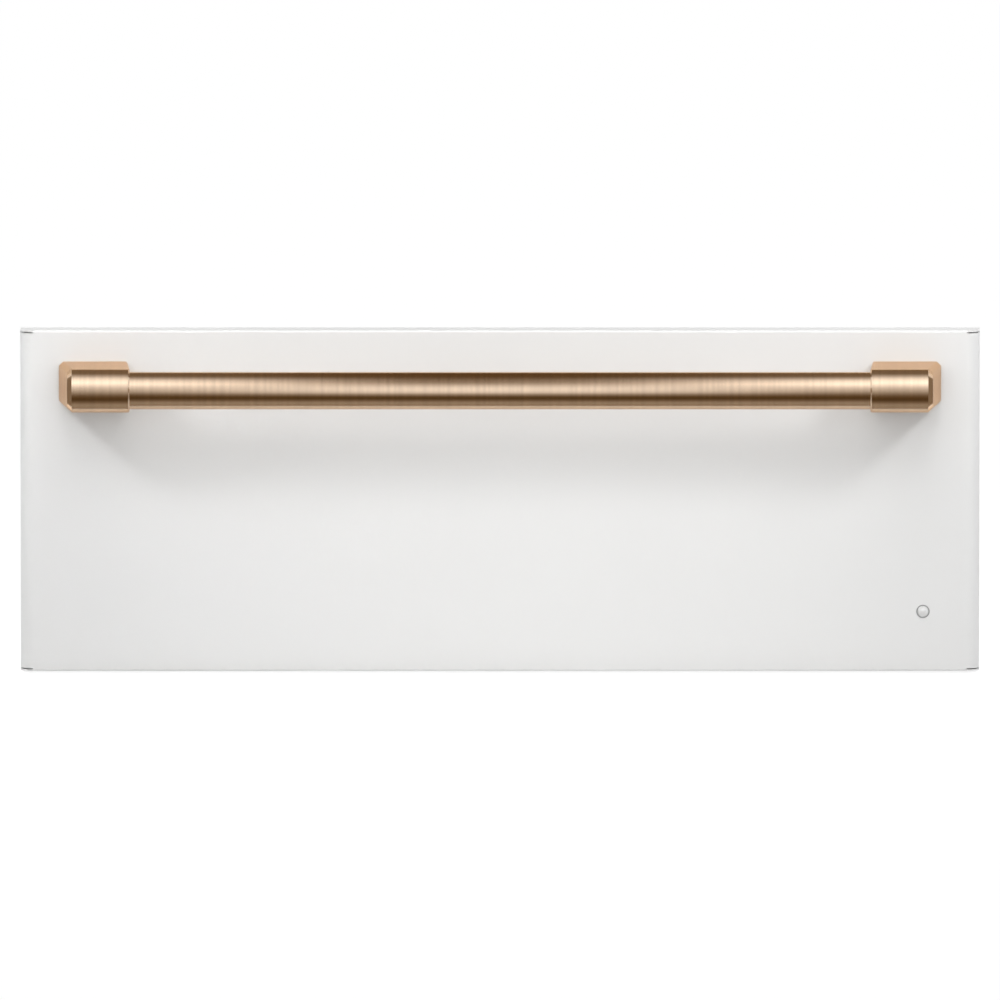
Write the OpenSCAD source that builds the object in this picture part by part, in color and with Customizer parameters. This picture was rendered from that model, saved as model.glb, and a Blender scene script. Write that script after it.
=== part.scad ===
// Warming drawer of the 30 inch class: an insulated heated case on four feet, with a full-extension
// drawer that carries a drawn pan and a wire rack behind a folded sheet front with a bar handle.
// Frame: +X to the right, the front faces -Y, +Z up. The origin lies on the surface that the unit
// stands on, under the middle of the overall box. All sizes are in millimetres.

/* [Front panel] */
// Width of the painted front
panel_w = 755.65; // [700:0.05:860]
// Height of the painted front
panel_h = 270; // [250:1:320]
// Depth of the folded edges, from the face to the open back
panel_depth = 22.5; // [18:0.5:30]
// Thickness of the painted sheet
panel_sheet = 1.2; // [0.8:0.1:1.5]
// Inside radius of the two upright bends
edge_bend_r = 8.8; // [4:0.1:12]
// Inside radius of the bends along the top and bottom flange
flange_bend_r = 0.4; // [0.2:0.1:1.5]
// Slit between the flanges and the upright bends at the corners
corner_slit = 0.9; // [0.5:0.1:2]
// Width of the fold behind each upright edge
side_return = 16; // [12:1:20]
// Gap under the front's lower edge
panel_lift = 2; // [1:0.5:6]

/* [Handle] */
// From the front's top edge down to the bar's axis
handle_drop = 41.5; // [30:0.5:60]
// From the front's face out to the bar's axis
handle_reach = 50; // [40:0.5:60]
// Diameter of the bar
bar_d = 29.3; // [22:0.1:32]
// How far the brackets' round noses stand proud of the bar
nose_proud = 2.55; // [1.5:0.05:5]
// From the front's side edge in to a bracket's foot
handle_inset = 30.5; // [15:0.5:60]
// Width of a bracket's foot
bracket_w = 53.9; // [50:0.1:70]
// How far the outer flank leans in between the foot and the axis
outer_lean = 7.3; // [2:0.1:10]
// How far the inner flank leans towards the middle between the foot and the axis
inner_lean = 2.4; // [0:0.1:4]
// Chamfer round the outer end of a bracket
outer_chamfer = 3.6; // [1:0.1:5]
// Chamfer round the inner end of a bracket
inner_chamfer = 1; // [0.4:0.1:2]
// How much finer the chamfers are along the post than round the nose
rim_step = 0.15; // [0.05:0.05:0.3]
// Length of the bar inside each bracket
bar_grip = 25; // [15:1:35]
// Shank diameter of the screws that hold a bracket
handle_screw_d = 6; // [4:0.5:8]
// Distance between the two screws of a bracket
handle_screw_gap = 26; // [20:1:32]
// Thread depth of those screws in a bracket
handle_screw_grip = 14; // [8:1:18]
// Thickness of the plates behind the sheet
backing_t = 3; // [2:0.5:4]
// Edge of a backing plate beyond the screws
backing_edge = 11; // [8:1:14]

/* [Indicator light] */
// From the front's right edge in to the light
lamp_inset = 44.5; // [20:0.5:90]
// From the front's lower edge up to the light
lamp_rise = 47.3; // [25:0.1:90]
// Diameter of the hole in the front
lamp_hole_d = 10.6; // [8:0.1:14]
// Wall of the dark ring round the lens
lamp_ring_t = 0.75; // [0.5:0.05:1.2]
// How far the domed lens stands out of the face
lamp_dome = 2.6; // [1:0.1:4]
// Depth of the holder behind the face
lamp_depth = 7.5; // [6:0.1:8]

/* [Inner panel and seal] */
// Sheet of the inner panel
inner_sheet = 1; // [0.6:0.1:1.5]
// Margin of the inner panel inside the front's outline
inner_margin = 3; // [2:0.5:6]
// Depth of the dish that enters the cavity
dish_depth = 32; // [28:1:45]
// Gap between the dish and the cavity walls
dish_clear = 9; // [6:0.5:14]
// Corner radius of the dish
dish_corner_r = 14; // [8:1:24]
// Radius of the dish's rear edges
dish_edge_r = 4; // [2:0.5:6]
// Gap between the inner panel and the front frame
seal_gap = 4; // [3:0.5:8]
// Free space left before the seal touches the frame
seal_play = 0.3; // [0.3:0.1:1]
// Width of the seal's flat base
seal_base_w = 9; // [6:0.5:12]
// Distance of the seal's middle line outside the cavity's mouth
seal_offset = 9; // [7:0.5:14]
// Thickness of the front's insulation pad
front_pad_t = 9; // [6:0.5:10]

/* [Controls] */
// Length of the control strip
fascia_w = 210; // [180:5:260]
// Thickness of the control strip
fascia_t = 2; // [1.5:0.5:3]
// Depth of the strip's skirt
skirt_h = 9; // [9:0.5:12]
// Wall of the strip's skirt
skirt_t = 1.5; // [1:0.1:2]
// Diameter of a button
button_d = 11; // [8:0.5:13]
// Distance between buttons
button_pitch = 24; // [20:1:30]
// Travel of a button
button_travel = 1; // [0.5:0.1:1.5]
// Height of a button above the strip
button_proud = 1.5; // [1.2:0.1:2.5]
// Length of the display window
display_w = 60; // [40:1:80]
// Thickness of the circuit boards
board_t = 1.6; // [1:0.1:2]

/* [Vent] */
// Width of a vent slot
vent_slot_w = 6; // [4:0.5:8]
// Height of a vent slot
vent_slot_h = 12; // [6:0.5:14]
// Distance between vent slots
vent_pitch = 14; // [12:0.5:20]
// Number of vent slots
vent_slots = 5; // [3:1:8]
// From the cavity's left wall to the vent's middle
vent_inset = 112; // [90:1:160]
// Length of the tab that the vent slides by
vent_tab = 10; // [6:0.5:12]

/* [Case] */
// Depth of the case behind the front frame
case_depth = 450; // [440:1:510]
// Sheet of the case
case_sheet = 1; // [0.8:0.1:1.5]
// How far the front reaches past the case at each side
side_overlay = 22.3; // [18:0.1:30]
// How far the front reaches above the case
top_overlay = 56; // [50:0.5:60]
// Height of the folded edges of the case's top and base
case_fold = 16; // [14:0.5:22]
// Height of the feet
foot_h = 15; // [12:0.5:20]
// Diameter of a foot at the top
foot_d = 34; // [26:1:44]
// From the case's edges in to a foot's middle
foot_inset = 24; // [22:1:60]
// Sheet of the front frame
frame_sheet = 1.5; // [1:0.1:2]
// Edge of the front frame inside the front's outline
frame_margin = 4; // [3:0.5:6]
// Diameter of the cabinet screw holes in the front frame
fixing_d = 4.5; // [3.5:0.1:6]
// From the frame's side edge to those holes
fixing_edge = 9; // [7:0.5:11]
// From the frame's top and lower edge to those holes
fixing_end = 60; // [40:1:80]
// Height of a stiffening bead on the case
bead_h = 1.5; // [1:0.1:2]
// From a bead's end to the edge of its sheet
bead_inset = 55; // [45:1:80]

/* [Cavity] */
// Sheet of the cavity liner
liner_sheet = 0.8; // [0.6:0.1:1.2]
// Room for insulation at each side
side_space = 20; // [16:0.5:30]
// Room for insulation under the cavity
base_space = 16; // [14:0.5:24]
// Room for insulation above the cavity
top_space = 16; // [14:0.5:24]
// Room for insulation behind the cavity
back_space = 26; // [24:0.5:36]
// Air gap between the insulation and the case
pad_gap = 4; // [3.5:0.5:6]

/* [Heater] */
// Diameter of the heater's sheath
heater_d = 7; // [6:0.1:9]
// Height of the heater's axis above the cavity floor
heater_lift = 12; // [9:0.5:16]
// From the cavity's walls in to the heater's loop
heater_inset = 80; // [60:1:120]
// Radius of the heater's bends
heater_bend_r = 40; // [25:1:55]
// Half the distance between the heater's two ends
heater_leg = 50; // [46:1:60]

/* [Drawer] */
// Travel of the drawer
drawer_travel = 350; // [300:1:354]
// Height of the drawer's sides
side_h = 96; // [80:1:110]
// Sheet of the drawer's sides
side_sheet = 1.2; // [0.8:0.1:1.5]
// Width of the folds on the drawer's sides
side_fold = 14; // [12:0.5:18]
// Room between the pan's rim and the cavity's ceiling
headroom = 34; // [30:1:44]
// Room behind the drawer
rear_room = 18; // [12:1:24]

/* [Pan and rack] */
// Sheet of the pan
pan_sheet = 1; // [0.6:0.1:1.2]
// Gap between the pan and the folds that it hangs in
pan_gap = 2; // [1:0.5:4]
// Corner radius of the pan
pan_corner_r = 30; // [20:1:45]
// Radius of the pan's lower edge
pan_edge_r = 12; // [6:1:16]
// From the cavity's floor up to the pan
pan_lift = 30; // [26:1:40]
// Gap between the pan's wall and the rack
rack_gap = 8; // [5:1:15]
// Height of the rack's frame above the pan's floor
rack_lift = 16; // [12:1:24]
// Diameter of the rack's frame wire
rack_frame_d = 5; // [4:0.5:7]
// Diameter of the rack's cross wires
rack_wire_d = 3; // [2:0.5:4]
// Distance between the cross wires
rack_pitch = 28; // [22:1:50]
// Corner radius of the rack
rack_corner_r = 26; // [18:1:40]

/* [Slides] */
// Height of a slide
slide_h = 45; // [42:0.5:52]
// Thickness of a slide
slide_t = 12.7; // [12.7:0.1:14]
// Sheet of the slide members
slide_sheet = 1.2; // [1:0.1:1.3]
// Diameter of the balls
ball_d = 3.4; // [3:0.1:3.8]
// Clearance round balls and cages
ball_clear = 0.3; // [0.3:0.05:0.4]
// Sheet of the ball cages
cage_sheet = 0.8; // [0.6:0.1:0.9]
// Length of a ball cage
cage_len = 140; // [110:1:150]
// Balls in one row of a cage
balls_per_row = 5; // [3:1:7]
// From a drawer side's ends to the slide
slide_end = 6; // [4:0.5:10]

/* [Rear compartment] */
// Depth of the rear cover
cover_depth = 30; // [28:0.5:45]
// Width of the rear cover's box
cover_w = 430; // [400:1:480]
// Height of the rear cover's box
cover_h = 149; // [140:1:153]
// Sheet of the rear cover
cover_sheet = 0.8; // [0.6:0.1:1.2]
// Width of the rear cover's flange
cover_flange = 14; // [12:0.5:16]
// From the case's lower edge up to the cover's flange
cover_rise = 3; // [2:0.5:6]
// Diameter of the cord's way through the gland
gland_bore_d = 8; // [6:0.1:10]
// How far the gland stands out of the cover
gland_proud = 6; // [4:0.5:10]
// Distance of the gland from the middle
gland_x = 150; // [120:1:180]
// Height of the gland above the cover's lower wall
gland_rise = 30; // [20:1:45]
// Length of the power board
power_w = 150; // [130:1:170]
// Height of the power board
power_h = 90; // [80:1:100]
// Height of the standoffs under the power board
standoff_h = 6; // [4:0.5:8]

/* [Hidden] */
$fn = 72;

// Handle
nose_r = bar_d / 2 + nose_proud;
handle_projection = handle_reach + nose_r;

// Depth, front to back
overall_depth = handle_projection + panel_depth + inner_sheet + seal_gap + frame_sheet + case_depth
    + cover_depth + gland_proud;
face_y = handle_projection - overall_depth / 2;
axis_y = face_y - handle_reach;
skin_y = face_y + panel_sheet;
back_y = face_y + panel_depth;
lip_y = back_y + inner_sheet;
frame_y = lip_y + seal_gap;
case_y0 = frame_y + frame_sheet;
case_y1 = case_y0 + case_depth;
cavity_y1 = case_y1 - case_sheet - back_space - liner_sheet;
dish_y = back_y + dish_depth;
drawer_y1 = cavity_y1 - rear_room;
slide_y0 = dish_y + slide_end;
slide_len = drawer_y1 - slide_end - slide_y0;
cover_y1 = case_y1 + cover_depth;

// Height
panel_z0 = panel_lift;
panel_z1 = panel_z0 + panel_h;
case_z0 = foot_h;
case_z1 = panel_z1 - top_overlay;
cavity_z0 = case_z0 + case_sheet + base_space + liner_sheet;
cavity_z1 = case_z1 - case_sheet - top_space - liner_sheet;
heater_z = cavity_z0 + heater_lift;
rail_z = cavity_z1 - headroom;
side_z0 = rail_z - side_h;
slide_z = (rail_z + side_z0) / 2;
pan_z0 = cavity_z0 + pan_lift;
dish_z0 = cavity_z0 + dish_clear;
dish_z1 = cavity_z1 - dish_clear;
handle_z = panel_z1 - handle_drop;
cover_z0 = case_z0 + cover_rise + cover_flange;

// Half widths
panel_x = panel_w / 2;
case_x = panel_x - side_overlay;
inner_case_x = case_x - 2 * case_sheet;
liner_x = inner_case_x - side_space;
cavity_x = liner_x - liner_sheet;
side_x = cavity_x - slide_t;
dish_x = cavity_x - dish_clear;
frame_x = panel_x - frame_margin;
pad_x = inner_case_x - pad_gap;
pan_x = side_x - side_sheet - side_fold - pan_gap;
rim_w = side_fold - 1;
bracket_out_x = panel_x - handle_inset;
bracket_in_x = bracket_out_x - bracket_w;
bracket_mid_x = (bracket_out_x + bracket_in_x) / 2;

// Pan, front to back
pan_y0 = dish_y + pan_gap + rim_w;
pan_y1 = drawer_y1 - side_sheet - side_fold - pan_gap;
pan_d = pan_y1 - pan_y0;
pan_mid_y = (pan_y0 + pan_y1) / 2;

// Small fasteners: shank and head diameters, head heights and the play of their holes
tapping_d = 4;
tapping_head_d = 9;
tapping_head_h = 3.6;
tapping_tip = 2;
pan_head_d = 7.5;
pan_head_h = 2;
screw_play = 0.2;
moving_play = 0.3;

// Places of the small fasteners
fold_mid = case_fold / 2;
fold_inset = 70;
fold_ys = [case_y0 + fold_inset, (case_y0 + case_y1) / 2, case_y1 - fold_inset];
frame_screw_zs = [slide_z - 45, slide_z + 45];
frame_fold = 14;
fold_screw = frame_fold / 2;
cover_mid_z = cover_z0 + cover_h / 2;
cover_hole_x = cover_w / 2 + cover_flange / 2;
cover_holes = [
    for (x = [-cover_hole_x, cover_hole_x], z = [-1, 0, 1]) [x, cover_mid_z + z * cover_h * 0.36]
];
fixing_x = frame_x - fixing_edge;
fixing_zs = [panel_z0 + frame_margin + fixing_end, panel_z1 - frame_margin - fixing_end];
return_x = panel_x - panel_sheet - side_return / 2 - 1;
return_inset = 30;
return_zs = [for (i = [0:3]) panel_z0 + return_inset + i * (panel_h - 2 * return_inset) / 3];
side_screw_zs = [side_z0 + 18, rail_z - 24];
side_screw_x = side_x - side_sheet - side_fold / 2;
slide_screw_ys = [for (f = [0.12, 0.5, 0.88]) slide_y0 + f * slide_len];
foot_spots = [
    for (x = [-1, 1], y = [case_y0 + foot_inset, case_y1 - foot_inset]) [x * (case_x - foot_inset), y]
];
foot_screw_d = 5;
foot_counterbore_d = 13;
foot_counterbore_h = 8;

// Slides: u runs from the cavity wall to the drawer side, v up and down from the middle
race = ball_d + 2 * ball_clear;
leg_u = slide_t - 1.7;
middle_u = slide_sheet + 2 * ball_clear + cage_sheet;
inner_u = middle_u + slide_sheet + 2 * ball_clear + cage_sheet;
outer_v = slide_h / 2;
middle_v = outer_v - slide_sheet - race;
inner_v = middle_v - slide_sheet - race;
cage_leg = 1.5;
cage_y0 = slide_y0 + drawer_travel / 4 + (slide_len - drawer_travel / 2 - cage_len) / 2;

// Controls
fascia_y0 = lip_y + 2;
fascia_y1 = dish_y - dish_edge_r - 3;
fascia_mid_y = (fascia_y0 + fascia_y1) / 2;
fascia_edge = 1.5;
fascia_z = dish_z1 + fascia_t;
button_xs = [for (i = [0:2]) -fascia_w / 2 + 26 + i * button_pitch];
button_flange = 1.2;
button_flange_t = 1;
display_x0 = fascia_w / 2 - 16 - display_w;
display_d = 9;
display_t = 1.4;
control_board_z = dish_z1 - skirt_h - board_t;

// Vent
vent_x = -cavity_x + vent_inset;
vent_z = (rail_z + pan_sheet + dish_z1 - dish_edge_r) / 2;
vent_travel = vent_pitch / 2;
vent_plate_t = 1;
vent_span = (vent_slots - 1) * vent_pitch + vent_slot_w;
vent_rivet_d = 4;
vent_rivet_x = vent_span / 2 + vent_pitch + 2;
vent_plate_x = vent_rivet_x + vent_rivet_d + vent_travel;
vent_plate_h = vent_slot_h + 5;

// Heater route and what is fixed round its ends
heater_x = cavity_x - heater_inset;
heater_y0 = dish_y + heater_inset;
heater_y1 = cavity_y1 - heater_inset;
heater_end_y = case_y1 + 2;
flange_t = 1.5;
flange_h = 18;
terminal_d = 6;
terminal_len = 8;
blade_len = 9;
service_in = heater_leg - 22;
service_out = heater_leg + 24;
service_h = 22;

// Probe and cutout
probe_x = 190;
probe_z = cavity_z1 - 16;
probe_d = 6;
probe_len = 14;
probe_head_d = 10;
cutout_x = -150;
cutout_rise = 100;
cutout_z = cavity_z0 + cutout_rise;
cutout_d = 16;
cutout_h = 11;
probe_hole = 26;
cutout_hole = 40;

// Rear electrics
power_inset = 14;
power_rise = 76;
power_x = -cover_w / 2 + power_w / 2 + power_inset;
power_z = cover_z0 + power_rise;
relay_drop = 36;
relay_z = power_z - relay_drop;
relay_size = [19, 14, 16];
transformer_at = [-62, -34];
transformer_size = [40, 15, 36];
connector_at = [-60, 18];
connector_size = [44, 9, 12];
chip_at = [26, 14];
chip_size = [30, 4, 20];
capacitor_d = 13;
capacitor_len = 17;
capacitor_pitch = 20;
block_aside = 32;
block_rise = 62;
block_x = gland_x - block_aside;
block_z = cover_z0 + block_rise;
block_size = [64, 16, 22];
block_bore_d = 6;
block_bore = 9;
lead_aside = 16;
lead_bend = 12;
lead_rise = 16;
lead_d = 2.4;
lead_sides = 8;

// ---------------------------------------------------------------- helpers

// Rectangle from a to b with round corners
module round_rect(a, b, r) {
    translate([a[0] + r, a[1]]) square([b[0] - a[0] - 2 * r, b[1] - a[1]]);
    translate([a[0], a[1] + r]) square([b[0] - a[0], b[1] - a[1] - 2 * r]);
    for (x = [a[0] + r, b[0] - r], y = [a[1] + r, b[1] - r]) translate([x, y]) circle(r);
}

// Box between two corners
module box(a, b) {
    translate(a) cube(b - a);
}

// Extrudes an outline drawn in X and Z along Y, from y over t
module wall_y(y, t) {
    translate([0, y + t, 0]) rotate([90, 0, 0]) linear_extrude(t) children();
}

// Extrudes an outline drawn in Y and Z along X, from x over t
module wall_x(x, t) {
    translate([x, 0, 0]) rotate([90, 0, 90]) linear_extrude(t) children();
}

// Cylinder along Y from y over t, centred on x and z
module rod_y(x, y, z, d, t) {
    translate([x, y, z]) rotate([-90, 0, 0]) cylinder(d = d, h = t);
}

// Cylinder along X from x over t, centred on y and z
module rod_x(x, y, z, d, t) {
    translate([x, y, z]) rotate([0, 90, 0]) cylinder(d = d, h = t);
}

// Quarter of a round bend lying flat, turned by a about +Z
module bend(centre, r, d, a) {
    translate(centre) rotate([0, 0, a]) rotate_extrude(angle = 90) translate([r, 0]) circle(d = d);
}

// Closed wire rectangle with round corners, lying flat round the origin
module wire_ring(w, d, r, wire) {
    for (s = [-1, 1]) {
        rod_x(-w / 2 + r, s * d / 2, 0, wire, w - 2 * r);
        rod_y(s * w / 2, -d / 2 + r, 0, wire, d - 2 * r);
    }
    bend([w / 2 - r, d / 2 - r, 0], r, wire, 0);
    bend([-w / 2 + r, d / 2 - r, 0], r, wire, 90);
    bend([-w / 2 + r, -d / 2 + r, 0], r, wire, 180);
    bend([w / 2 - r, -d / 2 + r, 0], r, wire, 270);
}

// Half of a drawn tray's section: floor, round lower edge, wall and rim, from the corner's centre out
module tray_section(r, edge_r, h, t, rim) {
    square([r - edge_r, t]);
    translate([r - edge_r, edge_r]) intersection() {
        difference() {
            circle(edge_r);
            circle(edge_r - t);
        }
        translate([0, -edge_r]) square(edge_r);
    }
    translate([r - t, edge_r]) square([t, h - edge_r]);
    if (rim > 0) translate([r - t, h - t]) square([t + rim, t]);
}

// Drawn tray with its mouth up, its outer floor at z = 0 and its middle over the origin
module tray(w, d, h, t, r, edge_r, rim = 0) {
    for (a = [0, 180]) rotate([0, 0, a]) {
        translate([w / 2 - r, d / 2 - r, 0])
            rotate_extrude(angle = 90) tray_section(r, edge_r, h, t, rim);
        rotate([0, 0, 90]) translate([d / 2 - r, w / 2 - r, 0])
            rotate_extrude(angle = 90) tray_section(r, edge_r, h, t, rim);
        translate([w / 2 - r, d / 2 - r, 0]) rotate([90, 0, 0])
            linear_extrude(d - 2 * r) tray_section(r, edge_r, h, t, rim);
        translate([-w / 2 + r, d / 2 - r, 0]) rotate([90, 0, 90])
            linear_extrude(w - 2 * r) tray_section(r, edge_r, h, t, rim);
    }
    translate([-w / 2 + r, -d / 2 + r, 0]) cube([w - 2 * r, d - 2 * r, t]);
}

// Mirrored copy for the left side when s is -1
module side(s) {
    mirror([s < 0 ? 1 : 0, 0, 0]) children();
}

// Hexagon washer-head tapping screw, its head above z = 0 and its shank below
module tapping_screw(reach) {
    cylinder(d = tapping_head_d, h = 1);
    cylinder(d = tapping_head_d - 2, h = tapping_head_h, $fn = 6);
    translate([0, 0, -reach]) cylinder(d = tapping_d, h = reach);
}

// Pan-head screw, its head above z = 0 and its shank below
module pan_screw(d, reach, head_d = pan_head_d, head_h = pan_head_h) {
    cylinder(d1 = head_d, d2 = head_d - head_h, h = head_h);
    translate([0, 0, -reach]) cylinder(d = d, h = reach);
}

function unit(v) = v / norm(v);

// Direction of a route at its point i, halfway between the runs that meet there
function heading(route, i) = unit(
    (i < len(route) - 1 ? unit(route[i + 1] - route[i]) : [0, 0, 0])
    + (i > 0 ? unit(route[i] - route[i - 1]) : [0, 0, 0])
);

// Ring of points round c, square to the heading t
function lead_ring(c, t) = let (a = unit(cross(t, [0.31, 0.93, 0.17])), b = cross(t, a)) [
    for (k = [0:lead_sides - 1])
        c + lead_d / 2 * (cos(360 * k / lead_sides) * a + sin(360 * k / lead_sides) * b)
];

// Wire along a route
module lead(route) {
    n = lead_sides;
    last = (len(route) - 1) * n;
    polyhedron(
        points = [for (i = [0:len(route) - 1]) each lead_ring(route[i], heading(route, i))],
        faces = concat(
            [[for (k = [0:n - 1]) k], [for (k = [n - 1:-1:0]) last + k]],
            [for (i = [0:len(route) - 2], k = [0:n - 1], half = [0, 1])
                half == 0 ? [i * n + k, (i + 1) * n + k, i * n + (k + 1) % n]
                          : [i * n + (k + 1) % n, (i + 1) * n + k, (i + 1) * n + (k + 1) % n]]
        )
    );
}

// ---------------------------------------------------------------- case

// Shank holes along the folded edges of the case's top and base, for one side
module fold_holes(z) {
    for (y = fold_ys) rod_x(-case_x - 1, y, z, tapping_d + screw_play, 2 * case_x + 2);
}

module case_base() {
    color("silver") difference() {
        union() {
            box([-case_x, case_y0, case_z0], [case_x, case_y1, case_z0 + case_sheet]);
            for (s = [-1, 1]) side(s)
                box([case_x - case_sheet, case_y0, case_z0], [case_x, case_y1, case_z0 + case_fold]);
        }
        fold_holes(case_z0 + fold_mid);
        for (p = foot_spots) translate([p[0], p[1], case_z0 - 1])
            cylinder(d = foot_screw_d + screw_play, h = case_sheet + 2);
    }
}

// Long low bead with round ends, along X and standing up from z = 0
module bead(len) {
    r = 6 * bead_h;
    reach = sqrt(r * r - (r - bead_h) * (r - bead_h));
    intersection() {
        translate([0, 0, bead_h - r]) union() {
            rod_x(-len / 2 + reach, 0, 0, 2 * r, len - 2 * reach);
            for (s = [-1, 1]) translate([s * (len / 2 - reach), 0, 0]) sphere(r);
        }
        translate([-len / 2, -r, 0]) cube([len, 2 * r, bead_h]);
    }
}

module case_top() {
    color("silver") difference() {
        union() {
            box([-case_x, case_y0, case_z1 - case_sheet], [case_x, case_y1, case_z1]);
            for (s = [-1, 1]) side(s)
                box([case_x - case_sheet, case_y0, case_z1 - case_fold], [case_x, case_y1, case_z1]);
            for (f = [0.2, 0.4, 0.6, 0.8])
                translate([0, case_y0 + f * case_depth, case_z1]) bead(2 * (case_x - bead_inset));
        }
        fold_holes(case_z1 - fold_mid);
    }
}

// The right side panel; the left one is its mirror image
module case_side(s) {
    side(s) difference() {
        union() {
            box([inner_case_x, case_y0, case_z0 + case_sheet],
                [inner_case_x + case_sheet, case_y1, case_z1 - case_sheet]);
            for (f = [0.33, 0.67])
                translate([inner_case_x + case_sheet, (case_y0 + case_y1) / 2,
                           case_z0 + f * (case_z1 - case_z0)])
                    rotate([0, 90, 0]) rotate([0, 0, 90]) bead(case_depth - 2 * bead_inset);
        }
        for (z = [case_z0 + fold_mid, case_z1 - fold_mid], y = fold_ys)
            rod_x(inner_case_x - 1, y, z, tapping_d + screw_play, case_sheet + 2);
        for (y = [case_y0 + fold_screw, case_y1 - fold_screw], z = frame_screw_zs)
            rod_x(inner_case_x - 1, y, z, tapping_d + screw_play, case_sheet + 2);
    }
}

module case_side_left() {
    color("silver") case_side(-1);
}

module case_side_right() {
    color("silver") case_side(1);
}

module case_back() {
    y = case_y1 - case_sheet;
    color("silver") difference() {
        union() {
            box([-inner_case_x, y, case_z0 + case_sheet], [inner_case_x, case_y1, case_z1 - case_sheet]);
            for (s = [-1, 1]) side(s)
                box([inner_case_x - case_sheet, case_y1 - frame_fold, case_z0 + case_fold + 1],
                    [inner_case_x, case_y1, case_z1 - case_fold - 1]);
        }
        for (s = [-1, 1], z = frame_screw_zs) side(s)
            rod_x(inner_case_x - case_sheet - 1, case_y1 - fold_screw, z, tapping_d + screw_play,
                  case_sheet + 2);
        for (p = cover_holes) rod_y(p[0], y - 1, p[1], tapping_d + screw_play, case_sheet + 2);
        wall_y(y - 1, case_sheet + 2) {
            for (s = [-1, 1]) side(s) round_rect([service_in, heater_z - service_h / 2],
                                                 [service_out, heater_z + service_h / 2], 4);
            translate([probe_x, probe_z]) circle(d = probe_hole);
            translate([cutout_x, cutout_z]) circle(d = cutout_hole);
        }
        for (p = standoff_spots())
            rod_y(p[0], y - 1, p[1], tapping_d, case_sheet + 2);
    }
}

module front_frame() {
    z0 = panel_z0 + frame_margin;
    z1 = panel_z1 - frame_margin;
    color("lightgray") difference() {
        union() {
            wall_y(frame_y, frame_sheet) difference() {
                round_rect([-frame_x, z0], [frame_x, z1], 5);
                translate([-cavity_x, cavity_z0])
                    square([2 * cavity_x, cavity_z1 - cavity_z0]);
            }
            for (s = [-1, 1]) side(s)
                box([inner_case_x - case_sheet, frame_y, case_z0 + case_fold + 1],
                    [inner_case_x, case_y0 + frame_fold, case_z1 - case_fold - 1]);
        }
        for (s = [-1, 1], z = frame_screw_zs) side(s)
            rod_x(inner_case_x - case_sheet - 1, case_y0 + fold_screw, z, tapping_d + screw_play,
                  case_sheet + 2);
        for (s = [-1, 1], z = fixing_zs)
            rod_y(s * fixing_x, frame_y - 1, z, fixing_d, frame_sheet + 2);
    }
}

module feet() {
    color("dimgray") for (p = foot_spots) translate([p[0], p[1], 0]) difference() {
        cylinder(d1 = foot_d - 6, d2 = foot_d, h = foot_h);
        translate([0, 0, -1]) cylinder(d = foot_screw_d + screw_play, h = foot_h + 2);
        translate([0, 0, -1]) cylinder(d = foot_counterbore_d, h = foot_counterbore_h + 1);
    }
}

module foot_screws() {
    reach = foot_h - foot_counterbore_h + case_sheet + tapping_tip;
    color("gray") for (p = foot_spots) translate([p[0], p[1], foot_counterbore_h])
        mirror([0, 0, 1]) pan_screw(foot_screw_d, reach, foot_counterbore_d - 3, 3.5);
}

module case_fasteners() {
    reach = 2 * case_sheet + tapping_tip;
    color("gray") {
        for (s = [-1, 1]) side(s) {
            for (y = fold_ys, z = [case_z0 + fold_mid, case_z1 - fold_mid])
                translate([case_x, y, z]) rotate([0, 90, 0]) tapping_screw(reach);
            for (y = [case_y0 + fold_screw, case_y1 - fold_screw], z = frame_screw_zs)
                translate([case_x - case_sheet, y, z]) rotate([0, 90, 0]) tapping_screw(reach);
        }
        for (p = cover_holes) translate([p[0], case_y1 + cover_sheet, p[1]])
            rotate([-90, 0, 0]) tapping_screw(case_sheet + cover_sheet + tapping_tip);
        for (p = standoff_spots()) translate([p[0], case_y1, p[1]]) rotate([-90, 0, 0]) {
            cylinder(d = 7, h = standoff_h, $fn = 6);
            translate([0, 0, -case_sheet]) cylinder(d = tapping_d, h = case_sheet);
            cylinder(d = 3, h = standoff_h + board_t);
            translate([0, 0, standoff_h + board_t]) cylinder(d1 = 6, d2 = 4.5, h = 1.6);
        }
    }
}

// ---------------------------------------------------------------- cavity

module cavity_liner() {
    flange = 10;
    z0 = cavity_z0 - liner_sheet;
    z1 = cavity_z1 + liner_sheet;
    color("lightsteelblue") difference() {
        union() {
            box([-liner_x, case_y0, z0], [liner_x, cavity_y1 + liner_sheet, z1]);
            box([-liner_x - flange, case_y0, z0 - flange],
                [liner_x + flange, case_y0 + liner_sheet, z1 + flange]);
        }
        box([-cavity_x, case_y0 - 1, cavity_z0], [cavity_x, cavity_y1, cavity_z1]);
        for (s = [-1, 1]) rod_y(s * heater_leg, cavity_y1 - 1, heater_z, heater_d + screw_play,
                                liner_sheet + 2);
        rod_y(probe_x, cavity_y1 - 1, probe_z, probe_d + screw_play, liner_sheet + 2);
        for (s = [-1, 1]) rod_y(s * (heater_leg + 16), cavity_y1 - 1, heater_z, tapping_d + screw_play,
                                liner_sheet + 2);
    }
}

module insulation_base() {
    color("khaki") box([-pad_x, case_y0 + case_sheet, case_z0 + case_sheet + pad_gap],
                       [pad_x, cavity_y1, cavity_z0 - liner_sheet - 0.1]);
}

module insulation_top() {
    color("khaki") box([-pad_x, case_y0 + case_sheet, cavity_z1 + liner_sheet + 0.1],
                       [pad_x, cavity_y1, case_z1 - case_sheet - 1]);
}

module insulation_sides() {
    color("khaki") for (s = [-1, 1]) side(s)
        box([liner_x + 0.1, case_y0 + case_sheet, cavity_z0 - liner_sheet],
            [pad_x, cavity_y1, cavity_z1 + liner_sheet]);
}

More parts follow.
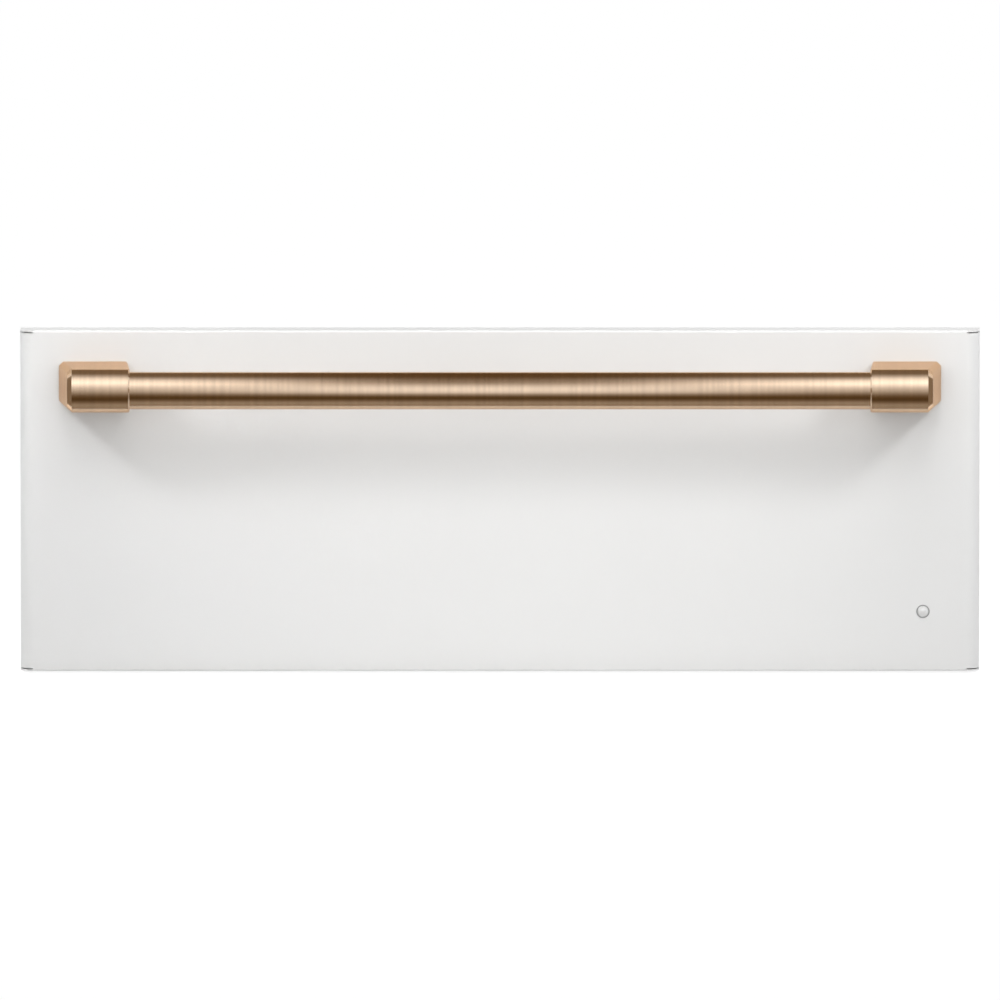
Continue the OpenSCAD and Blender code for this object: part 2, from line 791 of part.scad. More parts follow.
module insulation_back() {
    y = cavity_y1 + liner_sheet;
    pad = back_space - 6;
    color("khaki") difference() {
        box([-pad_x, y, case_z0 + case_sheet + pad_gap], [pad_x, y + pad, case_z1 - case_sheet - 1]);
        wall_y(y - 1, pad + 2) {
            for (s = [-1, 1]) side(s) round_rect([service_in, heater_z - service_h / 2],
                                                 [service_out, heater_z + service_h / 2], 4);
            translate([probe_x, probe_z]) circle(d = probe_hole);
            translate([cutout_x, cutout_z]) circle(d = cutout_hole);
        }
    }
}

// Sheathed heater: two legs from the back that open into one loop above the cavity's floor
module heater_element() {
    r = heater_bend_r;
    color("darkslategray") translate([0, 0, heater_z]) {
        for (s = [-1, 1]) side(s) {
            rod_y(heater_leg, heater_y1 + r, 0, heater_d, heater_end_y - heater_y1 - r);
            bend([heater_leg + r, heater_y1 + r, 0], r, heater_d, 180);
            rod_x(heater_leg + r, heater_y1, 0, heater_d, heater_x - heater_leg - 2 * r);
            bend([heater_x - r, heater_y1 - r, 0], r, heater_d, 0);
            rod_y(heater_x, heater_y0 + r, 0, heater_d, heater_y1 - heater_y0 - 2 * r);
            bend([heater_x - r, heater_y0 + r, 0], r, heater_d, 270);
        }
        rod_x(-heater_x + r, heater_y0, 0, heater_d, 2 * heater_x - 2 * r);
    }
}

module heater_terminals() {
    color("ivory") for (s = [-1, 1]) {
        rod_y(s * heater_leg, heater_end_y, heater_z, terminal_d, terminal_len);
        translate([s * heater_leg - 3, heater_end_y + terminal_len, heater_z - 0.4])
            cube([6, blade_len, 0.8]);
    }
}

// Loops of strip that hold the heater off the floor
module heater_clips() {
    spots = [for (x = [-1, 1], y = [0.25, 0.75]) [x * heater_x, heater_y0 + y * (heater_y1 - heater_y0)]];
    color("gray") for (p = spots) translate([p[0], p[1] - 6, cavity_z0]) difference() {
        union() {
            translate([-14, 0, 0]) cube([28, 12, 1]);
            translate([-1, 0, 0]) cube([2, 12, heater_lift - heater_d / 2]);
            rod_y(0, 0, heater_lift, heater_d + 2.4, 12);
        }
        rod_y(0, -1, heater_lift, heater_d + 0.1, 14);
    }
}

module heater_flange() {
    color("gray") {
        difference() {
            wall_y(cavity_y1 - flange_t, flange_t)
                round_rect([-heater_leg - 24, heater_z - flange_h / 2],
                           [heater_leg + 24, heater_z + flange_h / 2], 4);
            for (s = [-1, 1]) {
                rod_y(s * heater_leg, cavity_y1 - flange_t - 1, heater_z, heater_d + 0.1, flange_t + 2);
                rod_y(s * (heater_leg + 16), cavity_y1 - flange_t - 1, heater_z,
                      tapping_d + screw_play, flange_t + 2);
            }
        }
        for (s = [-1, 1]) translate([s * (heater_leg + 16), cavity_y1 - flange_t, heater_z])
            rotate([90, 0, 0]) pan_screw(tapping_d, flange_t + liner_sheet + tapping_tip);
    }
}

module temperature_probe() {
    color("gray") {
        rod_y(probe_x, cavity_y1 - probe_len, probe_z, probe_d, probe_len + liner_sheet);
        rod_y(probe_x, cavity_y1 + liner_sheet, probe_z, probe_head_d, 12);
        rod_y(probe_x, cavity_y1 + liner_sheet + 12, probe_z, probe_d, 8);
        translate([probe_x, cavity_y1 - probe_len, probe_z]) sphere(d = probe_d);
    }
}

module thermal_cutout() {
    y = cavity_y1 + liner_sheet;
    color("ivory") {
        wall_y(y, 1) round_rect([cutout_x - 16, cutout_z - 6], [cutout_x + 16, cutout_z + 6], 4);
        rod_y(cutout_x, y + 1, cutout_z, cutout_d, cutout_h);
        for (s = [-1, 1]) translate([cutout_x + s * 4 - 0.4, y + 1 + cutout_h, cutout_z - 3])
            cube([0.8, blade_len, 6]);
    }
}

// ---------------------------------------------------------------- rear compartment

function standoff_spots() = [
    for (x = [-1, 1], z = [-1, 1]) [power_x + x * (power_w / 2 - 6), power_z + z * (power_h / 2 - 6)]
];

// Left edge of relay i on the power board
function relay_x(i) = power_x - 10 + i * 23;

module power_board() {
    y = case_y1 + standoff_h;
    top = y + board_t;
    color("seagreen") difference() {
        wall_y(y, board_t) round_rect([power_x - power_w / 2, power_z - power_h / 2],
                                      [power_x + power_w / 2, power_z + power_h / 2], 3);
        for (p = standoff_spots()) rod_y(p[0], y - 1, p[1], 3 + screw_play, board_t + 2);
    }
    color("dimgray") {
        translate([power_x + transformer_at[0], top, power_z + transformer_at[1]]) cube(transformer_size);
        for (i = [0:2]) translate([relay_x(i), top, relay_z]) cube(relay_size);
        for (i = [0:1]) rod_y(power_x - 4 + i * capacitor_pitch, top, power_z + 8, capacitor_d, capacitor_len);
        translate([power_x + connector_at[0], top, power_z + connector_at[1]]) cube(connector_size);
        translate([power_x + chip_at[0], top, power_z + chip_at[1]]) cube(chip_size);
    }
}

module terminal_block() {
    color("ivory") difference() {
        translate([block_x, case_y1, block_z]) cube(block_size);
        for (i = [0:2]) rod_y(block_x + block_size[0] * (i + 0.5) / 3, case_y1 + block_size[1] - block_bore,
                              block_z + block_size[2] / 2, block_bore_d, block_bore + 1);
    }
}

module internal_leads() {
    loop_y = heater_end_y + terminal_len + blade_len;
    plug_y = case_y1 + standoff_h + board_t + 7;
    block_y = case_y1 + block_size[1] / 2;
    board_x = power_x + power_w / 2;
    color("firebrick") {
        for (s = [-1, 1]) {
            x = relay_x(1.5 + s / 2) + relay_size[0] / 2;
            y = loop_y + 3 + s;
            lead([
                [s * heater_leg, loop_y, heater_z], [s * heater_leg, loop_y + 2, heater_z],
                [s * heater_leg - lead_aside, y, heater_z + 2], [x + lead_bend, y, heater_z + 3],
                [x, plug_y + 4, relay_z - lead_rise], [x, plug_y, relay_z - lead_rise / 2], [x, plug_y, relay_z]
            ]);
        }
        for (i = [0:2]) lead([
            [block_x, block_y, block_z + 5 + i * 5], [block_x - 8, block_y, block_z + 5 + i * 5],
            [board_x + 20, block_y, power_z + 10 + i * 5],
            [board_x + 6, case_y1 + standoff_h + board_t / 2, power_z + 10 + i * 5],
            [board_x, case_y1 + standoff_h + board_t / 2, power_z + 10 + i * 5]
        ]);
    }
}

module rear_cover() {
    slot_w = 4;
    slot_h = 34;
    slot_pitch = 12;
    slots = 14;
    vent_z0 = cover_mid_z + 8;
    color("silver") difference() {
        translate([0, cover_y1, cover_mid_z]) rotate([90, 0, 0])
            tray(cover_w, cover_h, cover_depth, cover_sheet, 8, 2.5, cover_flange);
        wall_y(cover_y1 - cover_sheet - 1, cover_sheet + 2) {
            for (i = [0:slots - 1]) {
                x = -cover_w / 2 + 40 + i * slot_pitch;
                round_rect([x, vent_z0], [x + slot_w, vent_z0 + slot_h], slot_w / 2 - 0.01);
            }
            translate([gland_x, cover_z0 + gland_rise]) circle(d = gland_bore_d + 6);
        }
        for (p = cover_holes) rod_y(p[0], case_y1 - 1, p[1], tapping_d + screw_play, cover_sheet + 2);
    }
}

module cord_gland() {
    body_d = gland_bore_d + 5.8;
    color("black") translate([gland_x, cover_y1, cover_z0 + gland_rise]) rotate([-90, 0, 0]) difference() {
        union() {
            cylinder(d1 = body_d + 7, d2 = body_d + 3, h = gland_proud);
            translate([0, 0, -cover_sheet - 5]) cylinder(d = body_d, h = cover_sheet + 5);
            translate([0, 0, -cover_sheet - 5]) cylinder(d = body_d + 5, h = 5);
        }
        translate([0, 0, -cover_sheet - 6]) cylinder(d = gland_bore_d, h = cover_sheet + gland_proud + 7);
    }
}

// ---------------------------------------------------------------- slides

// Channel with its web at u0, its legs reaching to u1 and its half height v, as an outline in u and v
module channel(u0, u1, v) {
    translate([u0, -v]) square([slide_sheet, 2 * v]);
    for (z = [-v, v - slide_sheet]) translate([u0, z]) square([u1 - u0, slide_sheet]);
}

// Places an outline drawn in u and v on the right or left cavity wall and extrudes it along Y
module on_wall(s, y, t) {
    side(s) translate([cavity_x, 0, slide_z]) wall_y(y, t) mirror([1, 0]) children();
}

module slide_outer(s) {
    on_wall(s, slide_y0, slide_len) channel(0, leg_u, outer_v);
}

module slide_middle(s) {
    on_wall(s, slide_y0, slide_len) channel(middle_u, leg_u, middle_v);
}

// The inner member's channel faces the wall, so its web lies against the drawer's side
module slide_inner(s) {
    difference() {
        on_wall(s, slide_y0, slide_len)
            translate([slide_t + inner_u, 0]) mirror([1, 0]) channel(inner_u, slide_t, inner_v);
        for (y = slide_screw_ys) side(s)
            rod_x(side_x - 1, y, slide_z, tapping_d + screw_play, slide_sheet + 2);
    }
}

// Ball cage: a web between two members, and a leg with a row of balls above and below
module ball_cage(s, u, v) {
    ball_u = u + cage_sheet + ball_d / 2 + cage_leg;
    leg = ball_u + ball_d / 2 - 0.4;
    on_wall(s, cage_y0, cage_len) {
        translate([u, -v]) square([cage_sheet, 2 * v]);
        for (z = [-v, v]) translate([u, z - cage_sheet / 2]) square([leg - u, cage_sheet]);
    }
    for (z = [-v, v], i = [0:balls_per_row - 1]) side(s)
        translate([cavity_x - ball_u, cage_y0 + (i + 0.5) * cage_len / balls_per_row, slide_z + z])
            rotate([90, 0, 0]) sphere(d = ball_d);
}

module outer_ball_cage(s) {
    ball_cage(s, slide_sheet + ball_clear, outer_v - slide_sheet - race / 2);
}

module inner_ball_cage(s) {
    ball_cage(s, middle_u + slide_sheet + ball_clear, middle_v - slide_sheet - race / 2);
}

module slide_outer_left() { color("silver") slide_outer(-1); }
module slide_outer_right() { color("silver") slide_outer(1); }
module slide_middle_left() { color("gainsboro") slide_middle(-1); }
module slide_middle_right() { color("gainsboro") slide_middle(1); }
module slide_inner_left() { color("silver") slide_inner(-1); }
module slide_inner_right() { color("silver") slide_inner(1); }
module outer_ball_cage_left() { color("goldenrod") outer_ball_cage(-1); }
module outer_ball_cage_right() { color("goldenrod") outer_ball_cage(1); }
module inner_ball_cage_left() { color("goldenrod") inner_ball_cage(-1); }
module inner_ball_cage_right() { color("goldenrod") inner_ball_cage(1); }

// ---------------------------------------------------------------- drawer front

// Plan of the folded front: face, two upright bends and the returns behind them, in X and Y from the face
module front_plan() {
    r = edge_bend_r + panel_sheet;
    difference() {
        front_outline();
        translate([-panel_x + panel_sheet + edge_bend_r, panel_sheet])
            square([2 * (panel_x - panel_sheet - edge_bend_r), panel_depth]);
        for (s = [-1, 1]) translate([s * (panel_x - r), r]) circle(edge_bend_r);
        translate([-panel_x + panel_sheet, r])
            square([2 * (panel_x - panel_sheet), panel_depth - r - panel_sheet]);
        translate([-panel_x + side_return, r])
            square([2 * (panel_x - side_return), panel_depth]);
    }
}

// Filled plan of the front: a rectangle whose two front corners are round
module front_outline() {
    r = edge_bend_r + panel_sheet;
    translate([-panel_x + r, 0]) square([2 * (panel_x - r), panel_depth]);
    translate([-panel_x, r]) square([2 * panel_x, panel_depth - r]);
    for (s = [-1, 1]) translate([s * (panel_x - r), r]) circle(r);
}

// Section of the front's middle, in Y and Z: face and two flanges with tight bends
module front_section() {
    r = flange_bend_r + panel_sheet;
    difference() {
        union() {
            translate([0, panel_z0 + r]) square([panel_depth, panel_h - 2 * r]);
            translate([r, panel_z0]) square([panel_depth - r, panel_h]);
            for (z = [panel_z0 + r, panel_z1 - r]) translate([r, z]) circle(r);
        }
        translate([panel_sheet, panel_z0 + r]) square([panel_depth, panel_h - 2 * r]);
        translate([r, panel_z0 + panel_sheet]) square([panel_depth, panel_h - 2 * panel_sheet]);
        for (z = [panel_z0 + r, panel_z1 - r]) translate([r, z]) circle(flange_bend_r);
    }
}

module front_panel() {
    r = edge_bend_r + panel_sheet;
    slit = panel_sheet + corner_slit;
    color("whitesmoke") translate([0, face_y, 0]) difference() {
        union() {
            wall_x(-panel_x + r, 2 * (panel_x - r)) front_section();
            difference() {
                translate([0, 0, panel_z0 + slit]) linear_extrude(panel_h - 2 * slit) front_plan();
                box([-panel_x + r, -1, panel_z0], [panel_x - r, panel_depth - panel_sheet, panel_z1]);
            }
            for (z = [panel_z0, panel_z1 - panel_sheet]) difference() {
                translate([0, 0, z]) linear_extrude(panel_sheet) front_outline();
                box([-panel_x + r, -1, z - 1], [panel_x - r, panel_depth + 1, z + panel_sheet + 1]);
            }
        }
        for (s = [-1, 1], x = handle_screw_xs())
            rod_y(s * x, -1, handle_z, handle_screw_d + 2 * screw_play, panel_sheet + 2);
        rod_y(panel_x - lamp_inset, -1, panel_z0 + lamp_rise, lamp_hole_d, panel_sheet + 2);
        for (s = [-1, 1], z = return_zs)
            rod_y(s * return_x, panel_depth - panel_sheet - 1, z, tapping_d + screw_play, panel_sheet + 2);
    }
}

function handle_screw_xs() = [bracket_mid_x - handle_screw_gap / 2, bracket_mid_x + handle_screw_gap / 2];

// Right bracket: a round nose on a flat-sided post with leaning flanks, chamfered at both ends
module bracket(s) {
    out_x = bracket_out_x - outer_lean;
    in_x = bracket_in_x - inner_lean;
    side(s) translate([0, axis_y, handle_z]) difference() {
        intersection() {
            translate([in_x - 1, 0, 0]) rotate([0, 90, 0]) linear_extrude(bracket_w + 12) bracket_profile();
            translate([0, 0, -nose_r - 1]) linear_extrude(2 * nose_r + 2) polygon([
                [in_x, -nose_r - 1], [out_x, -nose_r - 1], [out_x, 0],
                [bracket_out_x, handle_reach], [bracket_in_x, handle_reach], [in_x, 0]
            ]);
        }
        for (up = [0, 1]) mirror([0, 0, up]) {
            rim_cut(out_x, outer_lean / handle_reach, outer_chamfer - rim_step, 1);
            rim_cut(in_x, inner_lean / handle_reach, inner_chamfer - rim_step, -1);
        }
        nose_cut(out_x, outer_chamfer, 1);
        nose_cut(in_x, inner_chamfer, -1);
        rod_x(in_x - nose_r, 0, 0, bar_d + 0.1, nose_r + bar_grip + 0.5);
        for (x = handle_screw_xs())
            rod_y(x, handle_reach - handle_screw_grip - 1, 0, handle_screw_d + 0.1, handle_screw_grip + 2);
    }
}

// Side view of a bracket, with +X of the profile down: half round in front, square behind
module bracket_profile() {
    difference() {
        circle(nose_r);
        translate([-nose_r - 1, 0]) square([2 * nose_r + 2, nose_r + 1]);
    }
    translate([-nose_r, 0]) square([2 * nose_r, handle_reach]);
}

// Half space beyond the chamfer along the top edge of a flank, from the axis back to the foot
module rim_cut(x, slope, c, out) {
    size = 4 * nose_r + bracket_w + handle_reach;
    n = norm([1, slope, 1]);
    intersection() {
        translate([x, 0, nose_r - c])
            rotate([0, 0, atan2(-slope * out, out)])
                rotate([0, -asin(1 / n), 0])
                    translate([0, -size, -size]) cube([size, 2 * size, 2 * size]);
        box([x - size, 0, -size], [x + size, handle_reach + 1, size]);
    }
}

// Ring outside the chamfer round one end of the nose, in front of the axis
module nose_cut(x, c, out) {
    translate([x, 0, 0]) rotate([0, out * 90, 0]) rotate([0, 0, out * 180]) rotate_extrude(angle = 180)
        polygon([[nose_r - c - 1, 1], [nose_r + 1, 1], [nose_r + 1, -c - 1]]);
}

module handle_bracket_left() { color("rosybrown") bracket(-1); }
module handle_bracket_right() { color("rosybrown") bracket(1); }

module handle_bar() {
    reach = bracket_in_x - inner_lean + bar_grip;
    color("rosybrown") rod_x(-reach, axis_y, handle_z, bar_d, 2 * reach);
}

module handle_backing_plates() {
    color("gray") for (s = [-1, 1]) side(s) difference() {
        wall_y(skin_y, backing_t)
            round_rect([bracket_mid_x - handle_screw_gap / 2 - backing_edge, handle_z - backing_edge],
                       [bracket_mid_x + handle_screw_gap / 2 + backing_edge, handle_z + backing_edge], 4);
        for (x = handle_screw_xs())
            rod_y(x, skin_y - 1, handle_z, handle_screw_d + 2 * screw_play, backing_t + 2);
    }
}

module handle_screws() {
    head_h = 3.5;
    reach = panel_sheet + backing_t + handle_screw_grip;
    color("gray") for (s = [-1, 1], x = handle_screw_xs())
        translate([s * x, skin_y + backing_t, handle_z]) rotate([-90, 0, 0])
            pan_screw(handle_screw_d, reach, 2 * handle_screw_d, head_h);
}

module indicator_lens() {
    d = lamp_hole_d - 2 * lamp_ring_t - 0.3;
    ball_r = (lamp_dome * lamp_dome + d * d / 4) / (2 * lamp_dome);
    color("white") translate([panel_x - lamp_inset, face_y, panel_z0 + lamp_rise]) rotate([-90, 0, 0]) {
        intersection() {
            translate([0, 0, ball_r - lamp_dome]) sphere(ball_r);
            translate([0, 0, -lamp_dome - 1]) cylinder(d = d, h = lamp_dome + 1);
        }
        cylinder(d = d, h = lamp_depth - 1.5);
    }
}

module indicator_holder() {
    d = lamp_hole_d - 0.2;
    color("black") translate([panel_x - lamp_inset, face_y, panel_z0 + lamp_rise]) rotate([-90, 0, 0])
        difference() {
            union() {
                translate([0, 0, 0.3]) cylinder(d = d, h = lamp_depth - 0.3);
                translate([0, 0, panel_sheet]) cylinder(d = d + 6, h = 1.2);
            }
            translate([0, 0, -1]) cylinder(d = lamp_hole_d - 2 * lamp_ring_t, h = lamp_depth - 0.5);
        }
}

// ---------------------------------------------------------------- inner panel, seal and controls

module inner_panel() {
    w = 2 * dish_x;
    h = dish_z1 - dish_z0;
    edge = panel_x - inner_margin;
    color("lightgray") difference() {
        union() {
            wall_y(back_y, inner_sheet) difference() {
                round_rect([-edge, panel_z0 + inner_margin], [edge, panel_z1 - inner_margin], 6);
                round_rect([-dish_x + inner_sheet, dish_z0 + inner_sheet],
                           [dish_x - inner_sheet, dish_z1 - inner_sheet], dish_corner_r - inner_sheet);
            }
            translate([0, dish_y, (dish_z0 + dish_z1) / 2]) rotate([90, 0, 0])
                tray(w, h, dish_depth, inner_sheet, dish_corner_r, dish_edge_r);
        }
        box([-fascia_w / 2 + fascia_edge, fascia_y0 + fascia_edge, dish_z1 - inner_sheet - 1],
            [fascia_w / 2 - fascia_edge, fascia_y1 - fascia_edge, dish_z1 + 1]);
        wall_y(dish_y - inner_sheet - 1, inner_sheet + 2) {
            vent_openings();
            for (s = [-1, 1]) translate([vent_x + s * vent_rivet_x, vent_z]) circle(d = vent_rivet_d);
            for (s = [-1, 1], z = side_screw_zs)
                translate([s * side_screw_x, z]) circle(d = tapping_d + screw_play);
        }
        for (s = [-1, 1], z = return_zs)
            rod_y(s * return_x, back_y - 1, z, tapping_d + screw_play, inner_sheet + 2);
    }
}

// Row of upright vent slots, in X and Z
module vent_openings() {
    for (i = [0:vent_slots - 1]) {
        x = vent_x - vent_span / 2 + i * vent_pitch;
        round_rect([x, vent_z - vent_slot_h / 2], [x + vent_slot_w, vent_z + vent_slot_h / 2],
                   vent_slot_w / 2 - 0.01);
    }
}

// Slotted plate that slides over the dish's slots, shown closed: its slots lie between the dish's
module vent_slider() {
    y = dish_y + moving_play;
    play = moving_play;
    color("lightgray") {
        difference() {
            wall_y(y, vent_plate_t) round_rect([vent_x - vent_plate_x, vent_z - vent_plate_h / 2],
                                               [vent_x + vent_plate_x, vent_z + vent_plate_h / 2], 3);
            translate([-vent_travel, 0, 0]) wall_y(y - 1, vent_plate_t + 2) vent_openings();
            for (s = [-1, 1]) wall_y(y - 1, vent_plate_t + 2) round_rect(
                [vent_x + s * vent_rivet_x - vent_travel - vent_rivet_d / 2 - play,
                 vent_z - vent_rivet_d / 2 - play],
                [vent_x + s * vent_rivet_x + vent_rivet_d / 2 + play,
                 vent_z + vent_rivet_d / 2 + play],
                vent_rivet_d / 2 + play - 0.01);
        }
        box([vent_x + vent_span / 2 + 1.5, y + vent_plate_t, vent_z - 5],
            [vent_x + vent_span / 2 + 3, y + vent_plate_t + vent_tab, vent_z + 5]);
    }
}

module front_insulation() {
    edge = panel_x - panel_sheet - side_return - 4;
    y = back_y - 1;
    color("khaki") {
        box([-edge, y - front_pad_t, panel_z0 + 12], [edge, y, panel_z1 - 12]);
        box([-dish_x + 8, y, dish_z0 + 8],
            [dish_x - 8, dish_y - inner_sheet - tapping_tip - 2, control_board_z - 24]);
    }
}

// Seal round the cavity's mouth: a flat base strip with a round bulb on it
module front_gasket() {
    r = 14;
    bulb = seal_gap - seal_play;
    w = 2 * (cavity_x + seal_offset);
    h = cavity_z1 - cavity_z0 + 2 * seal_offset;
    mid_z = (cavity_z0 + cavity_z1) / 2;
    half = seal_base_w / 2;
    color("dimgray") {
        wall_y(lip_y, 1.2) difference() {
            round_rect([-w / 2 - half, mid_z - h / 2 - half], [w / 2 + half, mid_z + h / 2 + half], r + half);
            round_rect([-w / 2 + half, mid_z - h / 2 + half], [w / 2 - half, mid_z + h / 2 - half], r - half);
        }
        translate([0, lip_y + bulb / 2, mid_z]) rotate([90, 0, 0]) wire_ring(w, h, r, bulb);
    }
}

module control_fascia() {
    edge = fascia_edge + 0.1;
    color("black") difference() {
        union() {
            translate([0, 0, dish_z1]) linear_extrude(fascia_t)
                round_rect([-fascia_w / 2, fascia_y0], [fascia_w / 2, fascia_y1], 2);
            box([-fascia_w / 2 + edge, fascia_y0 + edge, dish_z1 - skirt_h],
                [fascia_w / 2 - edge, fascia_y1 - edge, dish_z1]);
        }
        box([-fascia_w / 2 + edge + skirt_t, fascia_y0 + edge + skirt_t, dish_z1 - skirt_h - 1],
            [fascia_w / 2 - edge - skirt_t, fascia_y1 - edge - skirt_t, dish_z1]);
        for (x = button_xs) translate([x, fascia_mid_y, dish_z1 - 1])
            cylinder(d = button_d + 2 * moving_play, h = fascia_t + 2);
        box([display_x0, fascia_mid_y - display_d / 2, fascia_z - display_t],
            [display_x0 + display_w, fascia_mid_y + display_d / 2, fascia_z + 1]);
    }
}

module display_lens() {
    color("darkslategray") box([display_x0 + 0.1, fascia_mid_y - display_d / 2 + 0.1, fascia_z - display_t],
                               [display_x0 + display_w - 0.1, fascia_mid_y + display_d / 2 - 0.1, fascia_z]);
}

// Button with a flange that stops it under the strip
module button(i) {
    top = fascia_z + button_proud;
    flange_z = dish_z1 - moving_play - button_flange_t;
    translate([button_xs[i], fascia_mid_y, 0]) {
        translate([0, 0, flange_z]) cylinder(d = button_d, h = top - 0.6 - flange_z);
        translate([0, 0, top - 0.6]) cylinder(d1 = button_d, d2 = button_d - 1.2, h = 0.6);
        translate([0, 0, flange_z]) cylinder(d = button_d + 2 * button_flange, h = button_flange_t);
        translate([0, 0, flange_z - 2]) cylinder(d = 4, h = 2);
    }
}

module power_button() { color("white") button(0); }
module heat_button() { color("white") button(1); }
module timer_button() { color("white") button(2); }

module control_board() {
    edge = fascia_edge + 0.1;
    switch_z = dish_z1 - moving_play - button_flange_t - 2 - button_travel - moving_play;
    color("seagreen") {
        box([-fascia_w / 2 + edge, fascia_y0 + edge, control_board_z],
            [fascia_w / 2 - edge, fascia_y1 - edge, control_board_z + board_t]);
        for (x = button_xs) box([x - 3, fascia_mid_y - 3, control_board_z], [x + 3, fascia_mid_y + 3, switch_z]);
        box([display_x0 + 4, fascia_mid_y - 4, control_board_z],
            [display_x0 + display_w - 4, fascia_mid_y + 4, dish_z1 - 1]);
        box([display_x0, fascia_mid_y - 5, control_board_z - 4],
            [display_x0 + 12, fascia_mid_y + 5, control_board_z]);
    }
}

// ---------------------------------------------------------------- drawer body

// Right side of the drawer: a web with folds at the top, the front and the rear
module drawer_side(s) {
    z1 = rail_z - side_sheet;
    side(s) difference() {
        union() {
            box([side_x - side_sheet, dish_y, side_z0], [side_x, drawer_y1, rail_z]);
            box([side_x - side_sheet - side_fold, dish_y, z1], [side_x, drawer_y1, rail_z]);
            for (y = [dish_y, drawer_y1 - 2 * side_sheet])
                box([side_x - side_sheet - side_fold, y, side_z0], [side_x, y + side_sheet, z1]);
        }
        box([side_x - side_sheet - side_fold - 1, drawer_y1 - side_sheet, side_z0 - 1],
            [side_x + 1, drawer_y1 + 1, rail_z + 1]);
        for (y = [dish_y, drawer_y1 - 2 * side_sheet], z = side_screw_zs)
            rod_y(side_screw_x, y - 1, z, tapping_d + screw_play, side_sheet + 2);
        for (y = slide_screw_ys)
            rod_x(side_x - side_sheet - 1, y, slide_z, tapping_d + screw_play, side_sheet + 2);
    }
}

module drawer_side_left() { color("lightgray") drawer_side(-1); }
module drawer_side_right() { color("lightgray") drawer_side(1); }

module drawer_back() {
    y = drawer_y1 - side_sheet;
    inner = side_x - side_sheet - side_fold;
    color("lightgray") difference() {
        union() {
            box([-side_x, y, side_z0], [side_x, drawer_y1, rail_z]);
            box([-inner + 0.2, y - side_fold, rail_z - side_sheet], [inner - 0.2, drawer_y1, rail_z]);
        }
        for (s = [-1, 1], z = side_screw_zs)
            rod_y(s * side_screw_x, y - 1, z, tapping_d + screw_play, side_sheet + 2);
    }
}

module warming_pan() {
    color("gainsboro") translate([0, pan_mid_y, pan_z0])
        tray(2 * pan_x, pan_d, rail_z + pan_sheet - pan_z0, pan_sheet, pan_corner_r, pan_edge_r, rim_w);
}

module pan_rack() {
    w = 2 * (pan_x - pan_sheet - rack_gap) - rack_frame_d;
    d = pan_d - 2 * (pan_sheet + rack_gap) - rack_frame_d;
    bars = floor((w / 2 - rack_corner_r) / rack_pitch);
    floor_z = pan_z0 + pan_sheet;
    leg_x = (bars - 1) * rack_pitch;
    leg_y = d / 2 - pan_edge_r;
    color("silver") translate([0, pan_mid_y, floor_z + rack_lift]) {
        wire_ring(w, d, rack_corner_r, rack_frame_d);
        for (i = [-bars:bars]) rod_y(i * rack_pitch, -d / 2, 0, rack_wire_d, d);
        for (x = [-leg_x, 0, leg_x], y = [-leg_y, leg_y])
            translate([x, y, -rack_lift]) cylinder(d = rack_frame_d - 0.6, h = rack_lift);
    }
}

module drawer_screws() {
    color("gray") {
        for (s = [-1, 1]) side(s) {
            for (z = side_screw_zs) {
                translate([side_screw_x, dish_y + side_sheet, z])
                    rotate([-90, 0, 0]) pan_screw(tapping_d, side_sheet + inner_sheet + tapping_tip);
                translate([side_screw_x, drawer_y1, z])
                    rotate([-90, 0, 0]) pan_screw(tapping_d, 2 * side_sheet + tapping_tip);
            }
            for (y = slide_screw_ys) translate([side_x + slide_sheet, y, slide_z])
                rotate([0, 90, 0]) pan_screw(tapping_d, slide_sheet + side_sheet + tapping_tip);
            for (z = return_zs) translate([return_x, lip_y, z])
                rotate([-90, 0, 0]) pan_screw(tapping_d, inner_sheet + panel_sheet + tapping_tip);
        }
        for (s = [-1, 1]) translate([vent_x + s * vent_rivet_x, dish_y, vent_z]) rotate([-90, 0, 0]) {
            translate([0, 0, -inner_sheet - 1]) cylinder(d = vent_rivet_d, h = inner_sheet + 1);
            cylinder(d = vent_rivet_d, h = vent_plate_t + 2 * moving_play);
            translate([0, 0, vent_plate_t + 2 * moving_play])
                cylinder(d1 = 2 * vent_rivet_d + 0.6, d2 = vent_rivet_d, h = 1.4);
        }
    }
}

// ---------------------------------------------------------------- the parts

case_base();
case_side_left();
case_side_right();
case_top();
case_back();
front_frame();
feet();
foot_screws();
cavity_liner();
insulation_base();
insulation_top();
insulation_sides();
insulation_back();
heater_element();
heater_terminals();
heater_clips();
heater_flange();
temperature_probe();
thermal_cutout();
power_board();
terminal_block();
internal_leads();
rear_cover();
cord_gland();
case_fasteners();
slide_outer_left();
slide_outer_right();
slide_middle_left();
slide_middle_right();
outer_ball_cage_left();
outer_ball_cage_right();
inner_ball_cage_left();
inner_ball_cage_right();
front_panel();
inner_panel();
front_insulation();
front_gasket();
handle_bar();
handle_bracket_left();
handle_bracket_right();
handle_screws();
handle_backing_plates();
indicator_lens();
indicator_holder();
control_fascia();
display_lens();
control_board();
drawer_side_left();
drawer_side_right();
drawer_back();
slide_inner_left();
slide_inner_right();
warming_pan();
pan_rack();
drawer_screws();
power_button();
heat_button();
timer_button();
vent_slider();
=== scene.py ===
"""Looks of an insulated warming drawer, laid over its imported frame.

The front is satin white powder coat on folded sheet, with a brushed bronze bar handle and a small
white indicator light. Behind it are a stainless drawer and pan on ball-bearing slides, a stainless
cavity with a sheathed heater, and a case of zinc-coated sheet on four rubber feet.

Sizes are named in millimetres and multiplied by MM where they meet Blender, which works in metres.
"""

import logging
import math
from dataclasses import dataclass
from enum import Enum
from functools import lru_cache
from typing import Dict, Iterable, List, Optional, Sequence, Tuple, Union

import bmesh
import bpy
import numpy as np
from mathutils import Matrix, Vector

